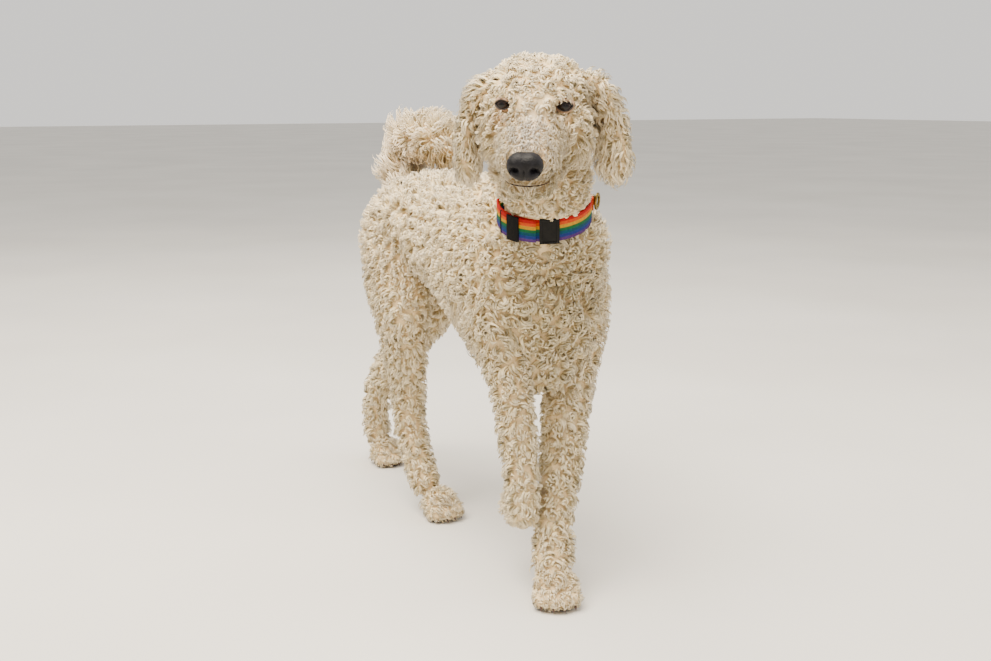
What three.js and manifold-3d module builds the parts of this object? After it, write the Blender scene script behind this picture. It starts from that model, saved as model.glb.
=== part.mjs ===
// A cream standard poodle in a short curly clip, life size, caught in mid step with its head turned to the
// viewer and one forefoot lifted. Millimetres, +Z up, the floor at z = 0, the dog facing -Y.
// Every furred piece is a flesh form under a core of dense coat, whose surface rises in rounded clumps set close.
import * as THREE from "three";
import { mergeVertices } from "three/addons/utils/BufferGeometryUtils.js";
import Module from "manifold-3d";

const wasm = await Module();
wasm.setup();

// Driving dimensions
const GAP = 0.3; // clear space between neighbouring pieces
const CORE_SHARE = 0.3; // how much of the coat's depth is the solid core under the clumps
const COAT = { body: 24, neck: 20, leg: 14, paw: 9, skull: 8, topknot: 18, muzzle: 9, cheek: 12, ear: 15, tail: 36 };
const TIPS = [1, 0.94, 0.87]; // the clumps' three sizes, as shares of the coat's depth
const CLUMP_COLUMNS = 4; // facets round a clump
const CLUMP_ROWS = 3; // facets along a clump
const CLUMP_REACH = 0.52; // how far a clump's dome reaches from its middle, in clump spacings
const ROW_PITCH = 0.87; // clump rows lie this much closer than the clumps in a row
const STRAY = 0.16; // how far a clump strays from its even place, in clump spacings
const WITHERS = 550; // height of the back over the shoulders, without coat
const PELVIS_X = 35; // the croup stands a little to the dog's left of the forehand
const BEND_START_Y = 100; // ahead of here the spine turns towards the dog's right
const BEND = 0.00025; // sideways shift per square millimetre ahead of the bend's start
const EYES = new THREE.Vector3(-102, -377, 661); // midpoint between the eyes
const HEAD_YAW = -37;
const HEAD_PITCH = 21;
const HEAD_ROLL = 1.5;
const EYE_HALF_GAP = 35;
const EYE_R = 11;
const COLLAR_WIDTH = 32;
const COLLAR_THICK = 3;

const CREAM = { color: 0xe6d7b8, roughness: 0.95, metalness: 0 };
const LEATHER_BLACK = { color: 0x1d1a1b, roughness: 0.45, metalness: 0 };
const EYE_BROWN = { color: 0x120c09, roughness: 0.08, metalness: 0 };
const WEBBING = { color: 0xc8502a, roughness: 0.8, metalness: 0 };
const RUBBER = { color: 0x151515, roughness: 0.6, metalness: 0 };
const BRASS = { color: 0x8a6a35, roughness: 0.4, metalness: 0.9 };

const V = (x, y, z) => new THREE.Vector3(x, y, z);
const rad = THREE.MathUtils.degToRad;

// Seeded random numbers from 0 to 1
function randomFrom(seed) {
  let state = seed >>> 0;
  return () => {
    state = (state + 0x6d2b79f5) >>> 0;
    let t = Math.imul(state ^ (state >>> 15), 1 | state);
    t = (t + Math.imul(t ^ (t >>> 7), 61 | t)) ^ t;
    return ((t ^ (t >>> 14)) >>> 0) / 4294967296;
  };
}

// Solids from geometry and back
function solid(geometry) {
  const bare = geometry.index ? geometry.toNonIndexed() : geometry.clone();
  bare.deleteAttribute("normal");
  bare.deleteAttribute("uv");
  const merged = mergeVertices(bare, 1e-3);
  return new wasm.Manifold(
    new wasm.Mesh({
      numProp: 3,
      vertProperties: new Float32Array(merged.attributes.position.array),
      triVerts: new Uint32Array(merged.index.array),
    }),
  );
}

const union = (bodies) => wasm.Manifold.union(bodies);

function geometryOf(manifold) {
  const mesh = manifold.getMesh();
  const points = new Float32Array(mesh.numVert * 3);
  for (let i = 0; i < mesh.numVert; i++) {
    points.set(mesh.vertProperties.subarray(i * mesh.numProp, i * mesh.numProp + 3), i * 3);
  }
  return new THREE.BufferGeometry()
    .setAttribute("position", new THREE.BufferAttribute(points, 3))
    .setIndex(new THREE.BufferAttribute(new Uint32Array(mesh.triVerts), 1));
}

function largest(manifold) {
  return manifold.decompose().reduce((best, body) => (body.volume() > best.volume() ? body : best));
}

// A limb: an ellipse carried along a smooth path, with round ends. Each station is [x, y, z, half width, half depth].
// The half width lies along `side`, and the half depth at right angles to it and to the path. Where `facing` is
// given, every section keeps that one direction, so that wide sections don't cross on a bend.
class Limb {
  constructor({ stations, side = V(1, 0, 0), facing = null, cap = 0.18, coat, clumps, seed = 1 }) {
    Object.assign(this, { stations, side, facing, cap, coat, clumps, seed });
    this.path = new THREE.CatmullRomCurve3(
      stations.map(([x, y, z]) => V(x, y, z)), false, "centripetal");
  }

  radius(t, column) {
    const last = this.stations.length - 1;
    const place = Math.min(Math.max(t, 0), 1) * last;
    const i = Math.min(Math.floor(place), last - 1);
    const f = THREE.MathUtils.smoothstep(place - i, 0, 1) * 0.5 + (place - i) * 0.5;
    return this.stations[i][column] * (1 - f) + this.stations[i + 1][column] * f;
  }

  frame(t) {
    const tangent = this.path.getPoint(Math.min(t + 0.01, 1)).sub(this.path.getPoint(Math.max(t - 0.01, 0)));
    tangent.normalize();
    if (this.facing) tangent.copy(this.facing);
    const across = this.side.clone().addScaledVector(tangent, -this.side.dot(tangent)).normalize();
    const deep = new THREE.Vector3().crossVectors(tangent, across);
    return { centre: this.path.getPoint(t), tangent, across, deep };
  }

  // A point of the surface, `out` millimetres above the flesh
  at(t, angle, out = 0) {
    const { centre, across, deep, tangent } = this.frame(t);
    const end = Math.min(t, 1 - t);
    const round = end < this.cap ? Math.sqrt(Math.max(0, 1 - (1 - end / this.cap) ** 2)) : 1;
    const beyond = out * (1 - round) * (t < 0.5 ? -1 : 1);
    return centre
      .addScaledVector(across, (this.radius(t, 3) + out) * round * Math.cos(angle))
      .addScaledVector(deep, (this.radius(t, 4) + out) * round * Math.sin(angle))
      .addScaledVector(tangent, beyond);
  }

  // How far the coat stands above the flesh at each facet corner, as a share of its depth: domes set close in
  // staggered rows over the core
  relief() {
    const [around, rows] = this.clumps;
    const random = randomFrom(this.seed);
    const middles = [];
    for (let row = 0; row <= rows; row++) {
      const atPole = row === 0 || row === rows;
      for (let k = 0; k < (atPole ? 1 : around); k++) {
        middles.push({
          atPole,
          u: k + 0.5 * (row % 2) + STRAY * (random() - 0.5),
          v: row + STRAY * (random() - 0.5),
          tip: TIPS[Math.floor(random() * TIPS.length)],
        });
      }
    }
    return (u, v) => middles.reduce((highest, { atPole, u: u0, v: v0, tip }) => {
      const turned = atPole ? 0 : Math.abs(u - u0) % around;
      const apart = Math.hypot(Math.min(turned, around - turned), (v - v0) * ROW_PITCH) / CLUMP_REACH;
      const dome = apart < 1 ? (1 - apart ** 2) ** 0.7 : 0;
      return Math.max(highest, CORE_SHARE + (tip - CORE_SHARE) * dome);
    }, CORE_SHARE);
  }

  // The closed form with its coat, grown by `grow` millimetres
  body(grow) {
    const [around, rows] = this.clumps;
    const columns = around * CLUMP_COLUMNS;
    const rings = rows * CLUMP_ROWS;
    const share = this.relief();
    const ball = new THREE.SphereGeometry(1, columns, rings);
    const position = ball.attributes.position;
    for (let i = 0; i < position.count; i++) {
      const ring = Math.floor(i / (columns + 1));
      const column = ring === 0 || ring === rings ? 0 : (i % (columns + 1)) % columns;
      const even = ring / rings;
      const t = 0.5 * even + 0.5 * (1 - Math.cos(Math.PI * even)) / 2;
      const out = this.coat * share(column / CLUMP_COLUMNS, ring / CLUMP_ROWS) + grow;
      const p = this.at(t, (2 * Math.PI * column) / columns, out);
      position.setXYZ(i, p.x, p.y, p.z);
    }
    const made = solid(ball);
    return made.volume() < 0 ? inverted(ball) : made;
  }

}

function inverted(geometry) {
  const bare = geometry.toNonIndexed();
  const p = bare.attributes.position.array;
  for (let i = 0; i < p.length; i += 9) {
    for (let k = 0; k < 3; k++) [p[i + 3 + k], p[i + 6 + k]] = [p[i + 6 + k], p[i + 3 + k]];
  }
  return solid(bare);
}

// The trunk, from the point of the rump to the breastbone
const spineX = (y) => PELVIS_X - BEND * Math.max(0, BEND_START_Y - y) ** 2;
const trunkRow = (y, half, top, bottom) => [spineX(y), y, (top + bottom) / 2, half, (top - bottom) / 2];
const trunk = new Limb({
  stations: [
    trunkRow(306, 32, WITHERS - 96, WITHERS - 148),
    trunkRow(280, 54, WITHERS - 56, WITHERS - 174),
    trunkRow(236, 68, WITHERS - 29, WITHERS - 176),
    trunkRow(178, 71, WITHERS - 16, WITHERS - 168),
    trunkRow(110, 70, WITHERS - 12, WITHERS - 158),
    trunkRow(38, 74, WITHERS - 14, WITHERS - 170),
    trunkRow(-40, 84, WITHERS - 10, WITHERS - 202),
    trunkRow(-115, 89, WITHERS, WITHERS - 240),
    trunkRow(-180, 90, WITHERS - 14, WITHERS - 274),
    trunkRow(-228, 80, WITHERS - 52, WITHERS - 266),
    trunkRow(-262, 52, WITHERS - 94, WITHERS - 212),
  ],
  facing: V(0, -1, 0), cap: 0.1, coat: COAT.body, clumps: [8, 9], seed: 1,
});
const LOIN_Y = 75; // where the trunk is parted into the ribcage and the croup

const neck = new Limb({
  stations: [
    [18, -180, 424, 80, 66],
    [15, -219, 474, 74, 58],
    [-6, -249, 520, 47, 47],
    [-20, -272, 560, 47, 47],
    [-40, -290, 594, 50, 46],
    [-54, -304, 624, 43, 40],
  ],
  side: V(0.94, -0.34, 0), cap: 0.08, coat: COAT.neck, clumps: [8, 3], seed: 2,
});

// The legs: the left fore and right hind step forward, the left hind trails, the right fore is lifted
const legs = {
  fore_left: new Limb({
    stations: [
      [97, -150, 468, 26, 42],
      [101, -172, 420, 30, 42],
      [97, -185, 366, 28, 40],
      [86, -187, 322, 28, 36],
      [71, -197, 284, 27, 30],
      [57, -208, 246, 25, 26],
      [43, -224, 200, 23, 22],
      [25, -242, 154, 20, 18],
      [7, -259, 112, 19, 16],
      [-11, -283, 62, 19, 17],
      [-20, -301, 30, 20, 18],
    ],
    side: V(0.95, -0.3, 0), cap: 0.07, coat: COAT.leg, clumps: [5, 6], seed: 5,
  }),
  fore_right: new Limb({
    stations: [
      [-48, -154, 468, 18, 34],
      [-50, -181, 420, 22, 35],
      [-50, -200, 366, 22, 32],
      [-47, -213, 324, 20, 28],
      [-43, -229, 286, 19, 24],
      [-43, -244, 232, 17, 20],
      [-44, -257, 176, 15, 17],
      [-43, -262, 122, 14, 16],
      [-42, -260, 106, 12, 13],
    ],
    side: V(0.97, -0.2, 0), cap: 0.07, coat: COAT.leg, clumps: [5, 6], seed: 6,
  }),
  hind_right: new Limb({
    stations: [
      [-14, 200, 470, 32, 62],
      [-22, 174, 400, 33, 66],
      [-26, 150, 335, 29, 52],
      [-20, 152, 268, 22, 34],
      [-10, 162, 205, 16, 24],
      [-8, 162, 150, 15, 19],
      [-7, 136, 92, 14, 16],
      [-2, 105, 34, 14, 16],
    ],
    side: V(1, 0.1, 0), cap: 0.07, coat: COAT.leg, clumps: [5, 6], seed: 7,
  }),
  hind_left: new Limb({
    stations: [
      [92, 232, 470, 34, 66],
      [98, 236, 400, 36, 68],
      [90, 258, 335, 30, 50],
      [80, 306, 270, 22, 32],
      [61, 364, 205, 16, 23],
      [53, 408, 148, 14, 20],
      [52, 425, 92, 13, 15],
      [56, 424, 34, 13, 15],
    ],
    side: V(1, 0.1, 0), cap: 0.07, coat: COAT.leg, clumps: [5, 6], seed: 8,
  }),
};

// Where each leg is parted, as the number of the station at the joint below each piece
const legParts = {
  fore_left: { upper_arm_left: 4.2, forearm_left: null },
  fore_right: { upper_arm_right: 4, forearm_right: null },
  hind_right: { thigh_right: 2.6, shank_right: 4.9, hock_right: null },
  hind_left: { thigh_left: 2.6, shank_left: 4.9, hock_left: null },
};

// The paws, each in its own frame with the toes towards -Y and the sole at z = 0
const paws = {
  fore_left: { at: V(-24, -312, 0), heading: -24, size: 1 },
  fore_right: { at: V(-16, -204, 124), heading: -28, size: 0.8, fold: 146 },
  hind_right: { at: V(6, 78, 0), heading: 4, size: 0.93 },
  hind_left: { at: V(60, 400, 0), heading: 6, size: 0.93 },
};

// The lifted forefoot hangs back from the bent wrist
const pastern = new Limb({
  stations: [[-42, -264, 116, 13, 14], [-33, -240, 112, 13, 13], [-24, -216, 110, 14, 13]],
  side: V(0.94, 0.34, 0), cap: 0.3, coat: COAT.leg, clumps: [5, 2], seed: 9,
});

// The tail stands up from the croup, and its plume curls forward over the back
const tailRoot = new Limb({
  stations: [[46, 240, 494, 18, 18], [46, 270, 524, 16, 16], [46, 288, 553, 14, 14], [47, 291, 580, 12, 12]],
  cap: 0.25, coat: COAT.tail, clumps: [5, 3], seed: 3,
});
const tailPlume = new Limb({
  stations: [[48, 286, 594, 12, 12], [55, 248, 609, 13, 13], [66, 202, 605, 12, 12], [78, 154, 585, 9, 9]],
  cap: 0.25, coat: COAT.tail, clumps: [5, 4], seed: 4,
});

// The head, in its own frame: the nose towards -Y, the dog's left at +X, and the origin midway between the eyes
const headTurn = new THREE.Euler(rad(HEAD_PITCH), rad(HEAD_ROLL), rad(HEAD_YAW), "ZYX");
const headMatrix = new THREE.Matrix4().makeRotationFromEuler(headTurn).setPosition(EYES);
const yawMatrix = new THREE.Matrix4().makeRotationZ(rad(HEAD_YAW)).setPosition(EYES);

const skull = new Limb({
  stations: [
    [0, 92, -8, 30, 30],
    [0, 68, -6, 42, 36],
    [0, 36, -6, 48, 36],
    [0, 6, -10, 45, 32],
    [0, -24, -22, 34, 27],
  ],
  cap: 0.22, coat: COAT.skull, clumps: [7, 4], seed: 21,
});
const topknot = new Limb({
  stations: [[0, 92, -4, 31, 26], [0, 60, 6, 46, 26], [0, 28, 6, 46, 21], [0, 10, 4, 36, 13]],
  cap: 0.34, coat: COAT.topknot, clumps: [6, 3], seed: 22,
});
const cheek = (side) => new Limb({
  stations: [[side * 38, 66, -24, 17, 30], [side * 42, 34, -38, 18, 34], [side * 32, -4, -50, 16, 26]],
  cap: 0.3, coat: COAT.cheek, clumps: [4, 2], seed: 24,
});
const cheeks = [cheek(-1), cheek(1)];
const muzzle = new Limb({
  stations: [[0, 4, -30, 37, 30], [0, -28, -33, 33, 25], [0, -62, -36, 30, 20], [0, -95, -38, 27, 16]],
  cap: 0.16, coat: COAT.muzzle, clumps: [6, 3], seed: 23,
});
const jaw = new Limb({
  stations: [[0, 34, -60, 38, 23], [0, 0, -66, 34, 18], [0, -45, -72, 27, 12], [0, -82, -73, 21, 8]],
  cap: 0.16, coat: COAT.muzzle, clumps: [5, 2], seed: 26,
});
const SOCKET = { at: (side) => V(side * 39, -9, -1), half: [18, 14, 12.5] };
const sockets = (grow) => [-1, 1].map((side) => ball(SOCKET.at(side), SOCKET.half.map((r) => r + grow), 10, 7));

// The ears hang straight down whatever the head's pitch, so their frame turns with its yaw alone
const earStations = (side, flare) => [
  [side * 50, 54, 28, 9, 20],
  [side * (72 + flare * 0.2), 56 + flare * 0.5, 12, 6, 25],
  [side * (83 + flare * 0.4), 58 + flare, -22, 4.5, 28],
  [side * (87 + flare * 0.6), 58 + flare, -56, 4.5, 29],
  [side * (86 + flare), 56 + flare, -87, 5, 26],
];
const ears = {
  right: new Limb({
    stations: earStations(-1, 0), side: V(1, 0, 0),
    cap: 0.13, coat: COAT.ear, clumps: [5, 3], seed: 42,
  }),
  left: new Limb({
    stations: earStations(1, 8), side: V(0.88, 0.47, 0),
    cap: 0.13, coat: COAT.ear, clumps: [5, 3], seed: 41,
  }),
};

// Plain closed forms
const box = (x, y, z, offset) => solid(new THREE.BoxGeometry(x, y, z).translate(...offset));

function ball(centre, [a, b, c], sides = 12, rings = 8) {
  return solid(new THREE.SphereGeometry(1, sides, rings).rotateX(Math.PI / 2).scale(a, b, c)
    .translate(centre.x, centre.y, centre.z));
}

// A paw: a furred foot, four toes and their claws, all on the floor
const TOE = { half: [10.5, 17, 15.5], pitch: 15, height: 15, inner: 22, outer: 15 };
const CLAW = { radius: 2.8, long: 16, sides: 4, dip: 204, pitch: 15.5, ahead: 12, height: 8.5 };
const foot = new Limb({
  stations: [[0, 27, 24, 17, 17], [0, 6, 24, 25, 22], [0, -20, 20, 23, 17]],
  cap: 0.35, coat: COAT.paw, clumps: [4, 2], seed: 31,
});
function pawBody(grow) {
  const toes = [-1.5, -0.5, 0.5, 1.5].flatMap((toe) => {
    const ahead = Math.abs(toe) < 1 ? TOE.inner : TOE.outer;
    const claw = new THREE.ConeGeometry(CLAW.radius + grow, CLAW.long, CLAW.sides).rotateX(rad(CLAW.dip));
    return [
      ball(V(toe * TOE.pitch, -ahead, TOE.height), TOE.half.map((r) => r + grow), 6, 4),
      solid(claw.translate(toe * CLAW.pitch, -ahead - CLAW.ahead, CLAW.height)),
    ];
  });
  const floor = box(300, 300, 150, [0, 0, 75 - grow]);
  return union([foot.body(grow), ...toes]).intersect(floor);
}

function pawMatrix({ at, heading, size, fold = 0 }) {
  return new THREE.Matrix4().makeTranslation(at.x, at.y, at.z)
    .multiply(new THREE.Matrix4().makeRotationZ(rad(heading)))
    .multiply(new THREE.Matrix4().makeRotationX(rad(fold)))
    .multiply(new THREE.Matrix4().makeScale(size, size, size));
}

const placed = (body, matrix) => body.transform(matrix.elements);

// The eyes and the lids round them
const eyeCentre = (side) => V(side * EYE_HALF_GAP, 5, -0.5);
const EYE_TOE_OUT = 14;
const LID = 2.4;
const FISSURE = { wide: 20, tall: 12.5 };
const eyeTurn = (side) => new THREE.Matrix4().makeRotationFromEuler(
  new THREE.Euler(rad(-HEAD_PITCH * 0.6), 0, rad(side * EYE_TOE_OUT), "ZYX"));

const eye = (side, grow) => ball(eyeCentre(side), [EYE_R + grow, EYE_R + grow, EYE_R + grow], 10, 8);

function lids(side, grow) {
  const almond = new THREE.Shape()
    .moveTo(-FISSURE.wide / 2, 0)
    .quadraticCurveTo(0, FISSURE.tall, FISSURE.wide / 2, 0)
    .quadraticCurveTo(0, -FISSURE.tall, -FISSURE.wide / 2, 0);
  const opening = new THREE.ExtrudeGeometry(almond, { depth: 40, bevelEnabled: false, curveSegments: 3 });
  opening.rotateX(Math.PI / 2).applyMatrix4(eyeTurn(side));
  const at = eyeCentre(side);
  opening.translate(at.x, at.y, at.z);
  return { shell: ball(at, Array(3).fill(EYE_R + LID + grow), 10, 8), opening: solid(opening) };
}

// The nose leather: a rounded block with its comma nostrils cut in
const NOSE = { at: V(0, -104, -31), half: 21, long: 13, tall: 16.5 };
function noseBody(grow) {
  const geometry = new THREE.SphereGeometry(1, 12, 8).rotateX(Math.PI / 2);
  const p = geometry.attributes.position;
  const puff = (v, power) => Math.sign(v) * Math.abs(v) ** power;
  for (let i = 0; i < p.count; i++) {
    const taper = 1 - 0.14 * Math.max(0, -p.getZ(i));
    p.setXYZ(
      i,
      puff(p.getX(i), 0.8) * (NOSE.half + grow) * taper,
      puff(p.getY(i), 0.8) * (NOSE.long + grow),
      puff(p.getZ(i), 0.85) * (NOSE.tall + grow));
  }
  return solid(geometry.translate(NOSE.at.x, NOSE.at.y, NOSE.at.z));
}

function nose() {
  const nostril = (side) => ball(V(0, 0, 0), [5.4, 9, 3.6], 8, 5)
    .transform(new THREE.Matrix4().makeTranslation(side * 10.5, NOSE.at.y - NOSE.long + 1, NOSE.at.z - 2)
      .multiply(new THREE.Matrix4().makeRotationY(rad(side * 28))).elements);
  const slit = (side) => ball(V(0, 0, 0), [6.5, 5, 1.3], 6, 4)
    .transform(new THREE.Matrix4().makeTranslation(side * 16, NOSE.at.y - NOSE.long + 5, NOSE.at.z - 7)
      .multiply(new THREE.Matrix4().makeRotationY(rad(side * 30))).elements);
  const groove = ball(V(0, NOSE.at.y - NOSE.long, NOSE.at.z - 10), [0.9, 1.8, 9], 6, 5);
  return noseBody(0).subtract(union([nostril(1), nostril(-1), slit(1), slit(-1), groove]));
}

// The collar, in its own frame: its axis along +Z, the throat towards -Y, the dog's left at +X
const COLLAR = { at: V(-6, -249, 525), half: 60, deep: 56 };
const neckLean = V(-0.21, -0.32, 0.92).normalize();
const collarMatrix = (() => {
  const left = V(0.94, -0.34, 0).addScaledVector(neckLean, -V(0.94, -0.34, 0).dot(neckLean)).normalize();
  const back = new THREE.Vector3().crossVectors(neckLean, left);
  return new THREE.Matrix4().makeBasis(left, back, neckLean).setPosition(COLLAR.at);
})();

function collarArc(inner, outer, width, from, to, rise = 0) {
  const shape = new THREE.Shape();
  shape.absellipse(0, 0, COLLAR.half + outer, COLLAR.deep + outer, rad(from), rad(to), false);
  shape.absellipse(0, 0, COLLAR.half + inner, COLLAR.deep + inner, rad(to), rad(from), true);
  const steps = Math.max(3, Math.round(Math.abs(to - from) / 12));
  const made = new THREE.ExtrudeGeometry(shape, { depth: width, bevelEnabled: false, curveSegments: steps });
  return solid(made.translate(0, 0, rise - width / 2));
}

function collarRing(inner, outer, width) {
  const shape = new THREE.Shape().absellipse(0, 0, COLLAR.half + outer, COLLAR.deep + outer, 0, 2 * Math.PI);
  const hole = new THREE.Path().absellipse(0, 0, COLLAR.half + inner, COLLAR.deep + inner, 0, 2 * Math.PI);
  shape.holes.push(hole);
  const made = new THREE.ExtrudeGeometry(shape, { depth: width, bevelEnabled: false, curveSegments: 14 });
  return solid(made.translate(0, 0, -width / 2));
}

// The coat pressed flat under the band
function collarBed(grow) {
  const shape = new THREE.Shape()
    .absellipse(0, 0, COLLAR.half - GAP + grow, COLLAR.deep - GAP + grow, 0, 2 * Math.PI);
  const depth = COLLAR_WIDTH + 12 + 2 * grow;
  const made = new THREE.ExtrudeGeometry(shape, { depth, bevelEnabled: false, curveSegments: 14 });
  return solid(made.translate(0, 0, -depth / 2));
}

const collarPieces = {
  collar_band: { body: () => collarRing(0, COLLAR_THICK, COLLAR_WIDTH), material: WEBBING },
  collar_strap_end: {
    body: () => collarArc(COLLAR_THICK + GAP, 2 * COLLAR_THICK, COLLAR_WIDTH, -160, -110),
    material: WEBBING,
  },
  collar_sleeve: {
    body: () => collarArc(2 * COLLAR_THICK + GAP, 2 * COLLAR_THICK + 3, COLLAR_WIDTH + 4, -146, -130),
    material: RUBBER,
  },
  collar_patch: {
    body: () => collarArc(COLLAR_THICK + GAP, COLLAR_THICK + 3, COLLAR_WIDTH + 4, -106, -83),
    material: RUBBER,
  },
  collar_tab: {
    body: () => collarArc(COLLAR_THICK + GAP, COLLAR_THICK + 3, 18, -6, 8, 4),
    material: WEBBING,
  },
  collar_ring: {
    body: () => {
      const ring = new THREE.TorusGeometry(8, 1.8, 6, 14).scale(1, 1.25, 1).rotateX(Math.PI / 2);
      return solid(ring.rotateZ(rad(60)).translate(COLLAR.half + COLLAR_THICK + 8, -2, 6));
    },
    material: BRASS,
  },
};

// The dark lip along the upper jaw's edge
function upperLip(grow) {
  const edge = [[-30, -34, -63], [-29, -62, -60], [-22, -92, -59], [0, -104, -58], [22, -92, -59], [29, -62, -60],
    [30, -34, -63]];
  const along = new THREE.CatmullRomCurve3(edge.map((point) => V(...point)));
  const round = new THREE.Shape().absellipse(0, 0, 2.6 + grow, 3.4 + grow, 0, 2 * Math.PI);
  return solid(new THREE.ExtrudeGeometry(round, { steps: 10, curveSegments: 2, extrudePath: along }));
}

// The head without its jaw, nose and ears: the coat dished round the eyes, with the lids set in the dishes
function headBody(grow) {
  const coat = union([...[skull, topknot, muzzle, ...cheeks].map((limb) => limb.body(grow)), upperLip(grow)]);
  let body = coat.subtract(union(sockets(-grow)));
  for (const side of [-1, 1]) {
    const { shell, opening } = lids(side, grow);
    body = body.add(shell).subtract(opening);
  }
  return body;
}

// An ear: a thin flap, furred outside and along its edges, cupped and bare on its inner side
function earBody(name, grow) {
  const limb = ears[name];
  const inward = limb.side.clone().multiplyScalar(name === "right" ? 1 : -1);
  const cup = limb.frame(0.56).centre.addScaledVector(inward, 4.5 + COAT.ear * CORE_SHARE + 5);
  const hollow = new THREE.SphereGeometry(1, 10, 7).rotateX(Math.PI / 2).scale(9 - grow, 19 - grow, 44 - grow);
  hollow.rotateZ(Math.atan2(limb.side.y, limb.side.x)).translate(cup.x, cup.y, cup.z);
  return limb.body(grow).subtract(solid(hollow));
}

// Nodes
const grown = {};
const forms = {
  trunk: (g) => trunk.body(g),
  neck: (g) => neck.body(g).add(placed(collarBed(g), collarMatrix)),
  tail_root: (g) => tailRoot.body(g),
  tail_plume: (g) => tailPlume.body(g),
  head: (g) => placed(headBody(g), headMatrix),
  jaw: (g) => placed(jaw.body(g), headMatrix),
  nose: (g) => placed(g ? noseBody(g) : nose(), headMatrix),
  eyes: (g) => placed(union([eye(1, g), eye(-1, g)]), headMatrix),
  pastern: (g) => pastern.body(g),
};
for (const [name, limb] of Object.entries(legs)) {
  forms[`leg_${name}`] = (g) => limb.body(g);
  forms[`paw_${name}`] = (g) => placed(pawBody(g), pawMatrix(paws[name]));
}
for (const name of Object.keys(ears)) forms[`ear_${name}`] = (g) => placed(earBody(name, g), yawMatrix);

function cut(name, ...neighbours) {
  let body = forms[name](0);
  for (const other of neighbours) {
    grown[other] ??= forms[other](GAP);
    body = body.subtract(grown[other]);
  }
  return body;
}

// The half of space that lies before (-1) or past (1) a limb's section at a station
function halfSpace(limb, station, side) {
  const { centre, tangent, across, deep } = limb.frame(station / (limb.stations.length - 1));
  const place = new THREE.Matrix4().makeBasis(across, deep, tangent).setPosition(centre);
  return placed(box(900, 900, 900, [0, 0, side * (450 + GAP / 2)]), place);
}

const dog = new THREE.Group();
function add(name, body, material) {
  const mesh = new THREE.Mesh(geometryOf(largest(body).simplify(0.05)), new THREE.MeshStandardMaterial(material));
  mesh.name = name;
  dog.add(mesh);
}

const collarGroove = placed(collarRing(-GAP, 60, COLLAR_WIDTH + 4 + 2 * GAP), collarMatrix);
const behind = box(1000, 1000, 1200, [0, LOIN_Y + GAP / 2 + 500, 600]);
const ahead = box(1000, 1000, 1200, [0, LOIN_Y - GAP / 2 - 500, 600]);
const wholeTrunk = cut("trunk");
add("chest", wholeTrunk.intersect(ahead).subtract(collarGroove), CREAM);
add("loin", wholeTrunk.intersect(behind), CREAM);
add("neck", cut("neck", "trunk", "head", "jaw").subtract(collarGroove), CREAM);
add("tail_root", cut("tail_root", "trunk"), CREAM);
add("tail_plume", cut("tail_plume", "tail_root", "trunk"), CREAM);

for (const [name, parts] of Object.entries(legParts)) {
  const beside = name === "fore_right" ? ["leg_fore_left"] : [];
  const below = name === "fore_right" ? ["pastern"] : [];
  const above = name.startsWith("fore") ? ["trunk", "neck"] : ["trunk"];
  let rest = cut(`leg_${name}`, ...above, `paw_${name}`, ...beside, ...below);
  for (const [part, station] of Object.entries(parts)) {
    add(part, station ? rest.intersect(halfSpace(legs[name], station, -1)) : rest, CREAM);
    if (station) rest = rest.intersect(halfSpace(legs[name], station, 1));
  }
  if (below.length) add("pastern_right", cut("pastern", `paw_${name}`, ...beside), CREAM);
  add(`paw_${name}`, cut(`paw_${name}`, ...beside), CREAM);
}

add("head", cut("head", "eyes", "nose"), CREAM);
add("lower_jaw", cut("jaw", "head").subtract(collarGroove), CREAM);
add("nose", forms.nose(0), LEATHER_BLACK);
for (const name of Object.keys(ears)) add(`ear_${name}`, cut(`ear_${name}`, "head", "neck"), CREAM);
add("eye_left", placed(eye(1, 0), headMatrix), EYE_BROWN);
add("eye_right", placed(eye(-1, 0), headMatrix), EYE_BROWN);
for (const [name, { body, material }] of Object.entries(collarPieces)) {
  add(name, placed(body(), collarMatrix), material);
}

// The origin is on the floor under the middle of the dog's outline
const outline = new THREE.Box3().setFromObject(dog, true).getCenter(V(0, 0, 0));
dog.position.set(-outline.x, -outline.y, 0);

export default dog;
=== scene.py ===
"""A life-size cream standard poodle in mid step, with its curled coat, eyes, nose, claws and striped collar.

Lengths are millimetres in the dog's own frame (+Z up, the floor at z = 0, the dog facing -Y) until a mesh is
made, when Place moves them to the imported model's place and turns them to metres.
"""

import logging
import math
from dataclasses import dataclass, replace
from enum import Enum

import bpy
import numpy as np
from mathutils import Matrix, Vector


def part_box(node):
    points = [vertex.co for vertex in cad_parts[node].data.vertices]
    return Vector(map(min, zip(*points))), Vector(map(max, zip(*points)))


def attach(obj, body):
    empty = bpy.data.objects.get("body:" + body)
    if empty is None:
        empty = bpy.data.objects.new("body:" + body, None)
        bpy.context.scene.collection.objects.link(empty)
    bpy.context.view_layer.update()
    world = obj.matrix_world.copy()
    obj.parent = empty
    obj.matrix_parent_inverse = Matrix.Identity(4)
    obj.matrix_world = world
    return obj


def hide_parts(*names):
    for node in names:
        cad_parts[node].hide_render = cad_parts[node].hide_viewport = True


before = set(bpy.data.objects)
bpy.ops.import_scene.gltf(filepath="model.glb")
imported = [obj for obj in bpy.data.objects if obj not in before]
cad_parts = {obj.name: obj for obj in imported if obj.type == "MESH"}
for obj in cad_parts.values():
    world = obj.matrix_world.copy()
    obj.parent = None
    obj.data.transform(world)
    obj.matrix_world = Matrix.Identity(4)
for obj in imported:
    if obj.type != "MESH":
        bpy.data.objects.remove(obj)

log = logging.getLogger("poodle")

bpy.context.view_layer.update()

Array = np.ndarray
Point = tuple[float, float, float]


# Sizes shared by several pieces

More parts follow.
